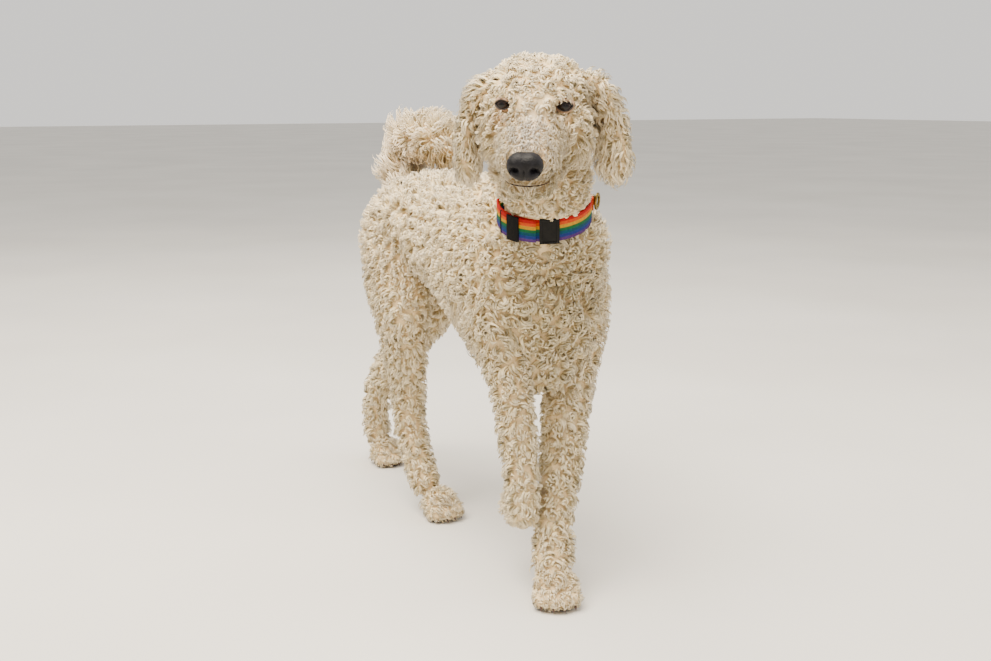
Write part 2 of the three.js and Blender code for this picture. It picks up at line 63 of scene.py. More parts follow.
CORE_SHARE = 0.3  # the skin lies this share of the coat's depth above the flesh, as the solids' core does
WITHERS = 550.0
PELVIS_X = 35.0
BEND_START_Y = 100.0
BEND = 0.00025
EYES = (-102.0, -377.0, 661.0)  # the point between the eyes
HEAD_YAW = -37.0
HEAD_PITCH = 21.0
HEAD_ROLL = 1.5


def linear(hex_colour: str) -> tuple[float, float, float, float]:
    """Turns an sRGB hex colour into the linear colour that a shader takes.

    Args:
        hex_colour: Six hex digits, such as "e6d7b8".

    Returns:
        Red, green, blue and an alpha of 1, where linear = ((v + 0.055) / 1.055) ** 2.4, or v / 12.92 near
        black.
    """
    values = [int(hex_colour[i : i + 2], 16) / 255 for i in (0, 2, 4)]
    rgb = [v / 12.92 if v <= 0.04045 else ((v + 0.055) / 1.055) ** 2.4 for v in values]
    return (rgb[0], rgb[1], rgb[2], 1.0)


def rotation(axis: str, degrees: float) -> Array:
    """Makes a rotation matrix.

    Args:
        axis: "x", "y" or "z".
        degrees: The right-handed angle.

    Returns:
        A 3 by 3 matrix that turns column vectors.
    """
    c = math.cos(math.radians(degrees))
    s = math.sin(math.radians(degrees))
    return {
        "x": np.array([[1, 0, 0], [0, c, -s], [0, s, c]]),
        "y": np.array([[c, 0, s], [0, 1, 0], [-s, 0, c]]),
        "z": np.array([[c, -s, 0], [s, c, 0], [0, 0, 1]]),
    }[axis]


def unit(vectors: Array) -> Array:
    """Scales each vector along the last axis to length 1."""
    return vectors / np.maximum(np.linalg.norm(vectors, axis=-1, keepdims=True), 1e-9)


def smooth(edge0: float, edge1: float, value: Array) -> Array:
    """Rises smoothly from 0 at edge0 to 1 at edge1, by 3u^2 - 2u^3."""
    u = np.clip((value - edge0) / (edge1 - edge0), 0.0, 1.0)
    return u * u * (3 - 2 * u)


@dataclass(frozen=True)
class Place:
    """A rigid place with one scale: point = turn @ (scale * local) + at."""

    turn: Array
    at: Point
    scale: float = 1.0

    def out(self, local: Array) -> Array:
        """Takes points from this place's own frame to the dog's."""
        return (local * self.scale) @ self.turn.T + np.array(self.at)

    def into(self, points: Array) -> Array:
        """Takes points of the dog's frame into this place's own."""
        return ((points - np.array(self.at)) @ self.turn) / self.scale

    def direction(self, local: Array) -> Array:
        """Turns directions from this place's own frame to the dog's."""
        return local @ self.turn.T


HEAD = Place(rotation("z", HEAD_YAW) @ rotation("y", HEAD_ROLL) @ rotation("x", HEAD_PITCH), EYES)
EARS = Place(rotation("z", HEAD_YAW), EYES)


def frame_shift() -> Array:
    """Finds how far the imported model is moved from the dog's own frame, from the places of its two eyes.

    Returns:
        The shift in millimetres: the eye nodes' middle, less the middle that the head's place gives them.
    """
    corners = np.array([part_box("eye_left"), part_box("eye_right")], float)
    middle = corners.reshape(-1, 3).mean(axis=0) * 1000
    shift = middle - HEAD.out(np.array([0.0, EyePair.back, EyePair.down]))
    shift[2] = 0.0
    return shift


# Meshes and materials


@dataclass
class Surface:
    """Points and faces of a mesh, in the dog's frame, with the values that its material reads."""

    points: Array
    faces: Array
    uv: Array | None = None
    colours: Array | None = None
    uv_name: str = "OFBake"
    normals: Array | None = None  # soft shading directions by point, where the faces' own would look hard

    def placed(self, place: Place) -> "Surface":
        """Gives the same surface moved out of a place's own frame."""
        return Surface(place.out(self.points), self.faces, self.uv, self.colours, self.uv_name)


def joined(parts: list[Surface]) -> Surface:
    """Joins surfaces into one, with their UVs and colours where all have them.

    Args:
        parts: The surfaces.

    Returns:
        One surface.
    """
    starts = np.cumsum([0] + [len(part.points) for part in parts[:-1]])
    faces = np.concatenate([part.faces + start for part, start in zip(parts, starts)])
    points = np.concatenate([part.points for part in parts])
    uv = np.concatenate([part.uv for part in parts]) if all(p.uv is not None for p in parts) else None
    tinted = all(part.colours is not None for part in parts)
    colours = np.concatenate([part.colours for part in parts]) if tinted else None
    return Surface(points, faces, uv, colours)


def grid_faces(rows: int, columns: int, wrap_rows: bool = False) -> Array:
    """Lists the quads of a grid of points whose rows are closed rings.

    Args:
        rows: How many rows of points there are.
        columns: How many points a row has.
        wrap_rows: Whether the last row meets the first.

    Returns:
        An array of quads by point number, (row, column) = row * columns + column.
    """
    r = np.arange(rows if wrap_rows else rows - 1)[:, None]
    c = np.arange(columns)[None, :]
    r1 = (r + 1) % rows
    c1 = (c + 1) % columns
    quads = [r * columns + c, r * columns + c1, r1 * columns + c1, r1 * columns + c]
    return np.stack(np.broadcast_arrays(*quads), axis=-1).reshape(-1, 4)


def globe(rings: int, columns: int) -> tuple[Array, Array]:
    """Lists the angles of a ball's grid, ring by ring.

    Args:
        rings: Rings from pole to pole.
        columns: Points round each ring.

    Returns:
        For each point its angle from the first pole, 0 to pi, and its angle round the poles' axis.
    """
    polar = np.repeat(np.linspace(0, math.pi, rings), columns)
    round_axis = np.tile(np.arange(columns) * 2 * math.pi / columns, rings)
    return polar, round_axis


class Workshop:
    """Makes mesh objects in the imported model's place, and hangs them on the one body of the dog."""

    def __init__(self) -> None:
        """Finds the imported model's shift once, for every piece."""
        self.shift = frame_shift()

    def metres(self, points: Array) -> Array:
        """Turns points of the dog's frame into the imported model's, in metres."""
        return (points + self.shift) / 1000

    def mesh(self, name: str, surface: Surface) -> bpy.types.Mesh:
        """Puts a surface into a new smooth mesh.

        Args:
            name: The mesh's name.
            surface: Its points, faces, UVs by point and colours by point.

        Returns:
            The mesh, with its UV map and a colour attribute named tint where the surface has them.
        """
        data = bpy.data.meshes.new(name)
        corners = surface.faces.shape[1]
        count = len(surface.faces)
        data.vertices.add(len(surface.points))
        data.vertices.foreach_set("co", self.metres(surface.points).astype(np.float32).ravel())
        data.loops.add(count * corners)
        data.loops.foreach_set("vertex_index", surface.faces.astype(np.int32).ravel())
        data.polygons.add(count)
        data.polygons.foreach_set("loop_start", (np.arange(count) * corners).astype(np.int32))
        data.update(calc_edges=True)
        data.validate()
        data.shade_smooth()
        if surface.uv is not None:
            layer = data.uv_layers.new(name=surface.uv_name)
            layer.data.foreach_set("uv", surface.uv[surface.faces.ravel()].astype(np.float32).ravel())
        if surface.colours is not None:
            tint = data.color_attributes.new("tint", "FLOAT_COLOR", "POINT")
            rgba = np.concatenate([surface.colours, np.ones((len(surface.colours), 1))], axis=1)
            tint.data.foreach_set("color", rgba.astype(np.float32).ravel())
        if surface.normals is not None:
            data.normals_split_custom_set_from_vertices(surface.normals.astype(np.float32).tolist())
        return data

    def piece(
        self,
        name: str,
        surface: Surface,
        material: bpy.types.Material,
        stands_for: tuple[str, ...] = (),
    ) -> bpy.types.Object:
        """Makes one piece of the dog from a surface.

        Args:
            name: The piece's name.
            surface: Its shape.
            material: Its finish.
            stands_for: The CAD nodes that it replaces.

        Returns:
            The object, which rides on the dog's body.
        """
        obj = bpy.data.objects.new(name, self.mesh(name, surface))
        bpy.context.scene.collection.objects.link(obj)
        obj.data.materials.append(material)
        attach(obj, "root")
        if stands_for:
            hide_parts(*stands_for)
        log.info("%s: %d faces", obj.name, len(obj.data.polygons))
        return obj


def plug(tree: bpy.types.NodeTree, made: bpy.types.Node, inputs: dict[str | int, object]) -> None:
    """Links or sets the inputs of a shader node.

    Args:
        tree: The material's node tree.
        made: The node.
        inputs: For each input, by name or number, a value or the output socket that feeds it.
    """
    for key, value in inputs.items():
        if isinstance(value, bpy.types.NodeSocket):
            tree.links.new(value, made.inputs[key])
        else:
            made.inputs[key].default_value = value


def node(
    tree: bpy.types.NodeTree,
    kind: str,
    settings: dict[str, object] | None = None,
    inputs: dict[str | int, object] | None = None,
    stops: tuple[tuple[float, str], ...] = (),
) -> bpy.types.Node:
    """Adds a shader node with its settings and links.

    Args:
        tree: The material's node tree.
        kind: The node's type name.
        settings: Values of the node itself.
        inputs: For each input, by name or number, a value or the output socket that feeds it.
        stops: Places and hex colours, where the node is a colour ramp.

    Returns:
        The new node.
    """
    made = tree.nodes.new(kind)
    for key, value in (settings or {}).items():
        setattr(made, key, value)
    if stops:
        elements = made.color_ramp.elements
        while len(elements) < len(stops):
            elements.new(0.5)
        for element, (place, colour) in zip(elements, stops):
            element.position = place
            element.color = linear(colour)
    plug(tree, made, inputs or {})
    return made


def new_material(name: str) -> tuple[bpy.types.Material, bpy.types.NodeTree, bpy.types.Node]:
    """Starts a material.

    Args:
        name: The material's name.

    Returns:
        The material, its node tree and its Principled shader.
    """
    material = bpy.data.materials.new(name)
    material.use_nodes = True
    tree = material.node_tree
    return material, tree, tree.nodes["Principled BSDF"]


MULTIPLY = {"data_type": "RGBA", "blend_type": "MULTIPLY"}  # a mix that multiplies two colours


@dataclass(frozen=True)
class WoolFinish:
    """Dense clipped wool: matt and soft, its colour carried by each lock from a tan root, painted shade
    between the curls, to a cream tip.
    """

    name: str = "curled_poodle_wool"
    roughness: float = 0.85
    sheen: float = 0.3
    scatter: float = 0.3
    grain_mm: float = 9.0  # size of the soft patches of warmer wool
    fibre_mm: float = 1.1  # real fibres are finer than the picture shows, so they are drawn this coarse

    def build(self) -> bpy.types.Material:
        """Makes the material.

        Returns:
            A material that reads the tint attribute and darkens it in soft patches.
        """
        material, tree, shader = new_material(self.name)
        tint = node(tree, "ShaderNodeAttribute", {"attribute_name": "tint"})
        place = node(tree, "ShaderNodeTexCoord").outputs["Object"]
        patch_inputs = {"Vector": place, "Scale": 1000 / self.grain_mm, "Detail": 3.0}
        patches = node(tree, "ShaderNodeTexNoise", inputs=patch_inputs)
        stops = ((0.3, "efe6d6"), (0.65, "ffffff"))
        shade = node(tree, "ShaderNodeValToRGB", inputs={"Fac": patches.outputs["Fac"]}, stops=stops)
        colours = {"Factor": 0.6, 6: tint.outputs["Color"], 7: shade.outputs["Color"]}
        mixed = node(tree, "ShaderNodeMix", MULTIPLY, colours)
        fibre_inputs = {"Vector": place, "Scale": 1000 / self.fibre_mm, "Detail": 1.0}
        fibres = node(tree, "ShaderNodeTexNoise", inputs=fibre_inputs)
        relief = {"Height": fibres.outputs["Fac"], "Strength": 0.35, "Distance": 0.0006}
        bump = node(tree, "ShaderNodeBump", inputs=relief)
        dress = {
            "Base Color": mixed.outputs[2],
            "Normal": bump.outputs["Normal"],
            "Roughness": self.roughness,
            "IOR": 1.5,
            "Specular IOR Level": 0.18,
            "Sheen Weight": self.sheen,
            "Sheen Roughness": 0.5,
            "Sheen Tint": linear("ffeccb"),
            "Subsurface Weight": self.scatter,
            "Subsurface Radius": (0.008, 0.0065, 0.0045),
            "Subsurface Scale": 1.0,
        }
        plug(tree, shader, dress)
        return material


@dataclass(frozen=True)
class SkinFinish:
    """Thin living skin under the coat: soft, with fine pores and the same markings and painted shade as the
    wool.
    """

    name: str = "living_skin"
    roughness: float = 0.6
    pore_mm: float = 1.6

    def build(self) -> bpy.types.Material:
        """Makes the material.

        Returns:
            A material that reads the tint attribute and has pores in its bump.
        """
        material, tree, shader = new_material(self.name)
        tint = node(tree, "ShaderNodeAttribute", {"attribute_name": "tint"})
        place = node(tree, "ShaderNodeTexCoord").outputs["Object"]
        pores = node(tree, "ShaderNodeTexVoronoi", inputs={"Vector": place, "Scale": 1000 / self.pore_mm})
        relief = {"Height": pores.outputs["Distance"], "Strength": 0.4, "Distance": 0.0006}
        bump = node(tree, "ShaderNodeBump", inputs=relief)
        blotches = node(tree, "ShaderNodeTexNoise", inputs={"Vector": place, "Scale": 60.0, "Detail": 4.0})
        stops = ((0.3, "d8c6b4"), (0.7, "ffffff"))
        shade = node(tree, "ShaderNodeValToRGB", inputs={"Fac": blotches.outputs["Fac"]}, stops=stops)
        colours = {"Factor": 0.5, 6: tint.outputs["Color"], 7: shade.outputs["Color"]}
        mixed = node(tree, "ShaderNodeMix", MULTIPLY, colours)
        dress = {
            "Base Color": mixed.outputs[2],
            "Normal": bump.outputs["Normal"],
            "Roughness": self.roughness,
            "IOR": 1.4,
        }
        plug(tree, shader, dress)
        return material


@dataclass(frozen=True)
class LeatherFinish:
    """Bare black skin of nose, lips and pads: pebbled, and moist enough for a soft gloss."""

    name: str
    colour: str
    worn: str
    roughness: float
    pebble_mm: float
    depth_mm: float = 0.25

    def build(self) -> bpy.types.Material:
        """Makes the material.

        Returns:
            A material with pebbles from a Voronoi pattern in its bump and a paler shade on some patches.
        """
        material, tree, shader = new_material(self.name)
        place = node(tree, "ShaderNodeTexCoord").outputs["Object"]
        pebble_inputs = {"Vector": place, "Scale": 1000 / self.pebble_mm, "Smoothness": 0.35}
        pebbles = node(tree, "ShaderNodeTexVoronoi", {"feature": "SMOOTH_F1"}, pebble_inputs)
        patches = node(tree, "ShaderNodeTexNoise", inputs={"Vector": place, "Scale": 90.0, "Detail": 5.0})
        share = patches.outputs["Fac"]
        stops = ((0.35, self.colour), (0.75, self.worn))
        colour = node(tree, "ShaderNodeValToRGB", inputs={"Fac": share}, stops=stops)
        span = {"Value": share, "To Min": self.roughness - 0.08, "To Max": self.roughness + 0.12}
        gloss = node(tree, "ShaderNodeMapRange", inputs=span)
        relief = {"Height": pebbles.outputs["Distance"], "Strength": 0.8, "Distance": self.depth_mm / 1000}
        bump = node(tree, "ShaderNodeBump", {"invert": True}, relief)
        dress = {
            "Base Color": colour.outputs["Color"],
            "Roughness": gloss.outputs["Result"],
            "Normal": bump.outputs["Normal"],
            "IOR": 1.45,
            "Specular IOR Level": 0.2,
        }
        plug(tree, shader, dress)
        return material


@dataclass(frozen=True)
class EyeFinish:
    """A wet dark eye: brown iris round a black pupil under a clear, glossy cornea."""

    name: str = "wet_dark_eye"

    def build(self) -> bpy.types.Material:
        """Makes the material.

        Returns:
            A material that reads the tint attribute under a smooth clear coat.
        """
        material, tree, shader = new_material(self.name)
        tint = node(tree, "ShaderNodeAttribute", {"attribute_name": "tint"})
        dress = {
            "Base Color": tint.outputs["Color"],
            "Roughness": 0.16,
            "IOR": 1.38,
            "Specular IOR Level": 0.2,
            "Coat Weight": 0.3,
            "Coat Roughness": 0.04,
        }
        plug(tree, shader, dress)
        return material


@dataclass(frozen=True)
class WebbingFinish:
    """Woven webbing: dyed stripes along its length over a ribbed weave."""

    name: str
    stripes: tuple[str, ...]
    width_mm: float
    roughness: float = 0.72
    thread_mm: float = 1.3

    def build(self) -> bpy.types.Material:
        """Makes the material.

        Returns:
            A material that reads the weave UV map, in centimetres along and across, with v = 0 at mid width.
        """
        material, tree, shader = new_material(self.name)
        weave = node(tree, "ShaderNodeUVMap", {"uv_map": "weave"}).outputs["UV"]
        v = node(tree, "ShaderNodeSeparateXYZ", inputs={"Vector": weave}).outputs["Y"]
        half = self.width_mm / 20
        place = node(tree, "ShaderNodeMapRange", inputs={"Value": v, "From Min": -half, "From Max": half})
        count = len(self.stripes)
        blend = 0.12 / count
        stops = tuple(
            (min(1.0, max(0.0, (k + end) / count + lead * blend)), stripe)
            for k, stripe in enumerate(self.stripes)
            for end, lead in ((0, 1), (1, -1))
        )
        colour: object = linear(self.stripes[0])
        if count > 1:
            share = {"Fac": place.outputs["Result"]}
            colour = node(tree, "ShaderNodeValToRGB", inputs=share, stops=stops).outputs["Color"]
        wave_inputs = {"Vector": weave, "Scale": math.pi / self.thread_mm, "Distortion": 0.3, "Detail": 1.0}
        waves = [
            node(tree, "ShaderNodeTexWave", {"wave_type": "BANDS", "bands_direction": axis}, wave_inputs)
            for axis in ("X", "Y")
        ]
        heights = {0: waves[0].outputs["Fac"], 1: waves[1].outputs["Fac"]}
        threads = node(tree, "ShaderNodeMath", {"operation": "ADD"}, heights)
        relief = {"Height": threads.outputs["Value"], "Strength": 0.7, "Distance": 0.0004}
        bump = node(tree, "ShaderNodeBump", inputs=relief)
        worn = node(tree, "ShaderNodeTexNoise", inputs={"Vector": weave, "Scale": 3.0, "Detail": 6.0})
        fade = ((0.3, "c9c2bb"), (0.6, "ffffff"))
        shade = node(tree, "ShaderNodeValToRGB", inputs={"Fac": worn.outputs["Fac"]}, stops=fade)
        mixed = node(tree, "ShaderNodeMix", MULTIPLY, {"Factor": 0.7, 6: colour, 7: shade.outputs["Color"]})
        dress = {
            "Base Color": mixed.outputs[2],
            "Normal": bump.outputs["Normal"],
            "Roughness": self.roughness,
            "IOR": 1.5,
            "Specular IOR Level": 0.12,
        }
        plug(tree, shader, dress)
        return material


@dataclass(frozen=True)
class SolidFinish:
    """A firm solid, such as horn, rubber or cast metal: two shades in soft patches over a fine grain."""

    name: str
    shades: tuple[tuple[float, str], ...]  # places on the patches' noise, with their colours
    patches: tuple[float, float]  # scale and detail of the noise that makes the patches
    grain: tuple[float, float]  # scale and detail of the noise that makes the grain
    strength: float
    depth_mm: float
    roughness: tuple[float, float]  # at the two ends of the patches' noise
    specular: float = 0.5
    ior: float = 1.5
    metallic: float = 0.0

    def build(self) -> bpy.types.Material:
        """Makes the material.

        Returns:
            A material whose colour changes in soft patches, and its roughness too where it has two values.
        """
        material, tree, shader = new_material(self.name)
        place = node(tree, "ShaderNodeTexCoord").outputs["Object"]
        sockets = []
        for scale, detail in (self.patches, self.grain):
            noise = {"Vector": place, "Scale": scale, "Detail": detail}
            sockets.append(node(tree, "ShaderNodeTexNoise", inputs=noise).outputs["Fac"])
        share, height = sockets
        colour = node(tree, "ShaderNodeValToRGB", inputs={"Fac": share}, stops=self.shades)
        relief = {"Height": height, "Strength": self.strength, "Distance": self.depth_mm / 1000}
        bump = node(tree, "ShaderNodeBump", inputs=relief)
        start, end = self.roughness
        roughness: object = start
        if start != end:
            span = {"Value": share, "To Min": start, "To Max": end}
            roughness = node(tree, "ShaderNodeMapRange", inputs=span).outputs["Result"]
        dress = {
            "Base Color": colour.outputs["Color"],
            "Roughness": roughness,
            "Normal": bump.outputs["Normal"],
            "IOR": self.ior,
            "Specular IOR Level": self.specular,
            "Metallic": self.metallic,
        }
        plug(tree, shader, dress)
        return material


# Claw horn is near black with fine streaks of brown, and has a dull polish from wear
HORN_SHADES = ((0.35, "2a1c18"), (0.7, "5c3f35"))
HORN = SolidFinish("dark_claw_horn", HORN_SHADES, (420, 3), (420, 3), 0.3, 0.3, (0.42, 0.42), ior=1.54)

# Moulded rubber is fine grained and hardly shines, with a paler bloom where it is scuffed
RUBBER_SHADES = ((0.35, "080808"), (0.75, "141312"))
RUBBER = SolidFinish("black_moulded_rubber", RUBBER_SHADES, (120, 4), (1500, 2), 0.3, 0.2, (0.55, 0.55), 0.12)

# The ring and the stud are cast metal with fine scratches, dulled by handling in soft patches
BRASS_SHADES = ((0.35, "4a3d1f"), (0.6, "86703a"))
BRASS = SolidFinish("aged_brass", BRASS_SHADES, (300, 4), (2400, 2), 0.2, 0.1, (0.51, 0.26), metallic=1.0)
STUD = replace(BRASS, name="dulled_olive_enamel_stud", shades=((0.35, "3c351d"), (0.6, "6f6436")))


# The flesh: an ellipse carried along a path


@dataclass(frozen=True)
class CoatStyle:
    """How the coat grows on one kind of place, in millimetres and degrees where a line says no other unit."""

    spacing: float  # distance between neighbouring roots
    half_width: float  # half the thickness of a lock
    reach: float  # share of the coat's depth that the locks fill
    lean: float  # how far a lock leans along the lie of the coat
    curl: float  # radius of a lock's own curl
    turns: float  # how many turns its own curl makes
    bunch: float  # distance between the middles of neighbouring bunches
    coil: float  # how far a lock winds round its bunch's middle
    gather: float  # share of the way that its tip is drawn to that middle
    swirl: float  # span of the turns that bunches take from the lie of the coat


class Coat(Enum):
    """The kinds of coat on the dog."""

    BODY = CoatStyle(4.4, 1.35, 1.0, 34, 0.9, 0.8, 13, 110, 0.0, 110)
    NECK = CoatStyle(4.3, 1.3, 1.0, 34, 0.9, 0.8, 12, 110, 0.0, 110)
    LEG = CoatStyle(4.1, 1.25, 1.15, 36, 0.8, 0.8, 11, 105, 0.0, 100)
    PAW = CoatStyle(3.3, 0.95, 1.5, 50, 0.7, 0.6, 9, 60, 0.0, 60)
    SKULL = CoatStyle(3.5, 1.05, 1.0, 46, 0.7, 0.6, 9, 90, 0.0, 90)
    TOPKNOT = CoatStyle(3.7, 1.15, 1.0, 30, 0.8, 0.8, 11, 100, 0.0, 90)
    MUZZLE = CoatStyle(2.65, 0.75, 1.2, 60, 0.4, 0.4, 6, 25, 0.0, 40)
    CHEEK = CoatStyle(3.3, 1.05, 1.3, 40, 0.7, 0.7, 9, 90, 0.0, 80)
    EAR = CoatStyle(3.7, 1.2, 1.0, 54, 1.5, 1.2, 12, 60, 0.15, 45)
    TAIL = CoatStyle(4.1, 1.1, 1.25, 36, 1.6, 1.0, 16, 55, 0.1, 80)


@dataclass(frozen=True)
class Limb:
    """A length of flesh: an ellipse carried along a smooth path through its stations, with round ends.

    Each station is x, y, z, half width and half depth. The half width lies along side, and the half depth at
    right angles to it and to the path, or to facing where that is given.
    """

    name: str
    stations: tuple[tuple[float, float, float, float, float], ...]
    coat: float
    style: Coat
    side: Point = (1.0, 0.0, 0.0)
    facing: Point | None = None
    cap: float = 0.18
    place: Place | None = None

    def path(self, t: Array) -> Array:
        """Finds points on the path, a centripetal Catmull-Rom curve through the stations.

        Args:
            t: Places from 0, the first station, to 1, the last.

        Returns:
            A point for each place. Each span is a cubic whose end slopes come from the square roots of the
            distances between the stations round it.
        """
        knots = np.array([station[:3] for station in self.stations])
        knots = np.concatenate([[2 * knots[0] - knots[1]], knots, [2 * knots[-1] - knots[-2]]])
        last = len(self.stations) - 1
        along = np.clip(t, 0, 1) * last
        span = np.minimum(along.astype(int), last - 1)
        w = (along - span)[:, None]
        p0, p1, p2, p3 = (knots[span + k] for k in range(4))
        spans = ((p0, p1), (p1, p2), (p2, p3))
        d0, d1, d2 = (np.sqrt(np.linalg.norm(b - a, axis=1, keepdims=True)) for a, b in spans)
        m1 = ((p1 - p0) / d0 - (p2 - p0) / (d0 + d1) + (p2 - p1) / d1) * d1
        m2 = ((p2 - p1) / d1 - (p3 - p1) / (d1 + d2) + (p3 - p2) / d2) * d1
        return p1 + m1 * w + (-3 * p1 + 3 * p2 - 2 * m1 - m2) * w**2 + (2 * p1 - 2 * p2 + m1 + m2) * w**3

    def radius(self, t: Array, column: int) -> Array:
        """Blends a station size along the path, half evenly and half by a smooth step.

        Args:
            t: Places from 0 to 1.
            column: 3 for the half width, 4 for the half depth.

        Returns:
            The size at each place.
        """
        sizes = np.array([station[column] for station in self.stations])
        last = len(sizes) - 1
        along = np.clip(t, 0, 1) * last
        span = np.minimum(along.astype(int), last - 1)
        f = along - span
        f = 0.5 * f + 0.5 * f * f * (3 - 2 * f)
        return sizes[span] * (1 - f) + sizes[span + 1] * f

    def axes(self, t: Array) -> tuple[Array, Array, Array]:
        """Finds the directions of the section at each place.

        Args:
            t: Places from 0 to 1.

        Returns:
            The path's direction, the way of the half width, and the way of the half depth.
        """
        tangent = unit(self.path(np.minimum(t + 0.01, 1)) - self.path(np.maximum(t - 0.01, 0)))
        if self.facing is not None:
            tangent = np.broadcast_to(np.array(self.facing, float), tangent.shape)
        side = np.array(self.side, float)
        across = unit(side - tangent * (tangent @ side)[:, None])
        return tangent, across, np.cross(tangent, across)

    def sections(self, rings: int, columns: int) -> Array:
        """Places a grid's sections along the path, closer at both ends, with one value for each point."""
        even = np.linspace(0, 1, rings)
        return np.repeat(0.5 * even + 0.5 * (1 - np.cos(math.pi * even)) / 2, columns)

    def surface(self, rings: int, columns: int, out: float) -> Surface:
        """Builds the closed form, out millimetres above the flesh.

        Args:
            rings: Sections along it.
            columns: Points round each section.
            out: How far it is grown.

        Returns:
            A grid whose point at (t, a) is path + cos a (half width + out) r + sin a (half depth + out) r,
            with r = sqrt(1 - (1 - end / cap) ^ 2) at the round ends.
        """
        t = self.sections(rings, columns)
        a = np.tile(np.arange(columns) * 2 * math.pi / columns, rings)
        tangent, across, deep = self.axes(t)
        end = np.minimum(t, 1 - t)
        r = np.where(end < self.cap, np.sqrt(np.maximum(0, 1 - (1 - end / self.cap) ** 2)), 1.0)
        beyond = out * (1 - r) * np.where(t < 0.5, -1, 1)
        points = (
            self.path(t)
            + across * ((self.radius(t, 3) + out) * r * np.cos(a))[:, None]
            + deep * ((self.radius(t, 4) + out) * r * np.sin(a))[:, None]
            + tangent * beyond[:, None]
        )
        if self.place is not None:
            points = self.place.out(points)
        return Surface(points, grid_faces(rings, columns))

    def lie(self, rings: int, columns: int) -> Array:
        """Finds the way the coat lies at each point of the surface's grid: along the path, from its start."""
        t = self.sections(rings, columns)
        tangent = unit(self.path(np.minimum(t + 0.01, 1)) - self.path(np.maximum(t - 0.01, 0)))
        return self.place.direction(tangent) if self.place is not None else tangent


def trunk_row(y: float, half: float, top: float, bottom: float) -> tuple[float, float, float, float, float]:
    """Places one section of the trunk: straight behind BEND_START_Y, and curved to the right ahead of it."""
    x = PELVIS_X - BEND * max(0.0, BEND_START_Y - y) ** 2
    return (x, y, (top + bottom) / 2, half, (top - bottom) / 2)


@dataclass(frozen=True)
class Paw:
    """One foot: where it stands, its heading, its size and how far it is folded at the wrist."""

    name: str
    at: Point
    heading: float
    size: float
    fold: float = 0.0

    @property
    def place(self) -> Place:
        """The foot's own frame, the toes towards -Y and the sole at z = 0."""
        return Place(rotation("z", self.heading) @ rotation("x", self.fold), self.at, self.size)


# The depth of the coat over the flesh on each kind of place
DEPTH = {
    "body": 24,
    "neck": 20,
    "leg": 14,
    "paw": 9,
    "skull": 8,
    "topknot": 18,
    "muzzle": 9,
    "cheek": 12,
    "ear": 15,
    "tail": 36,
}


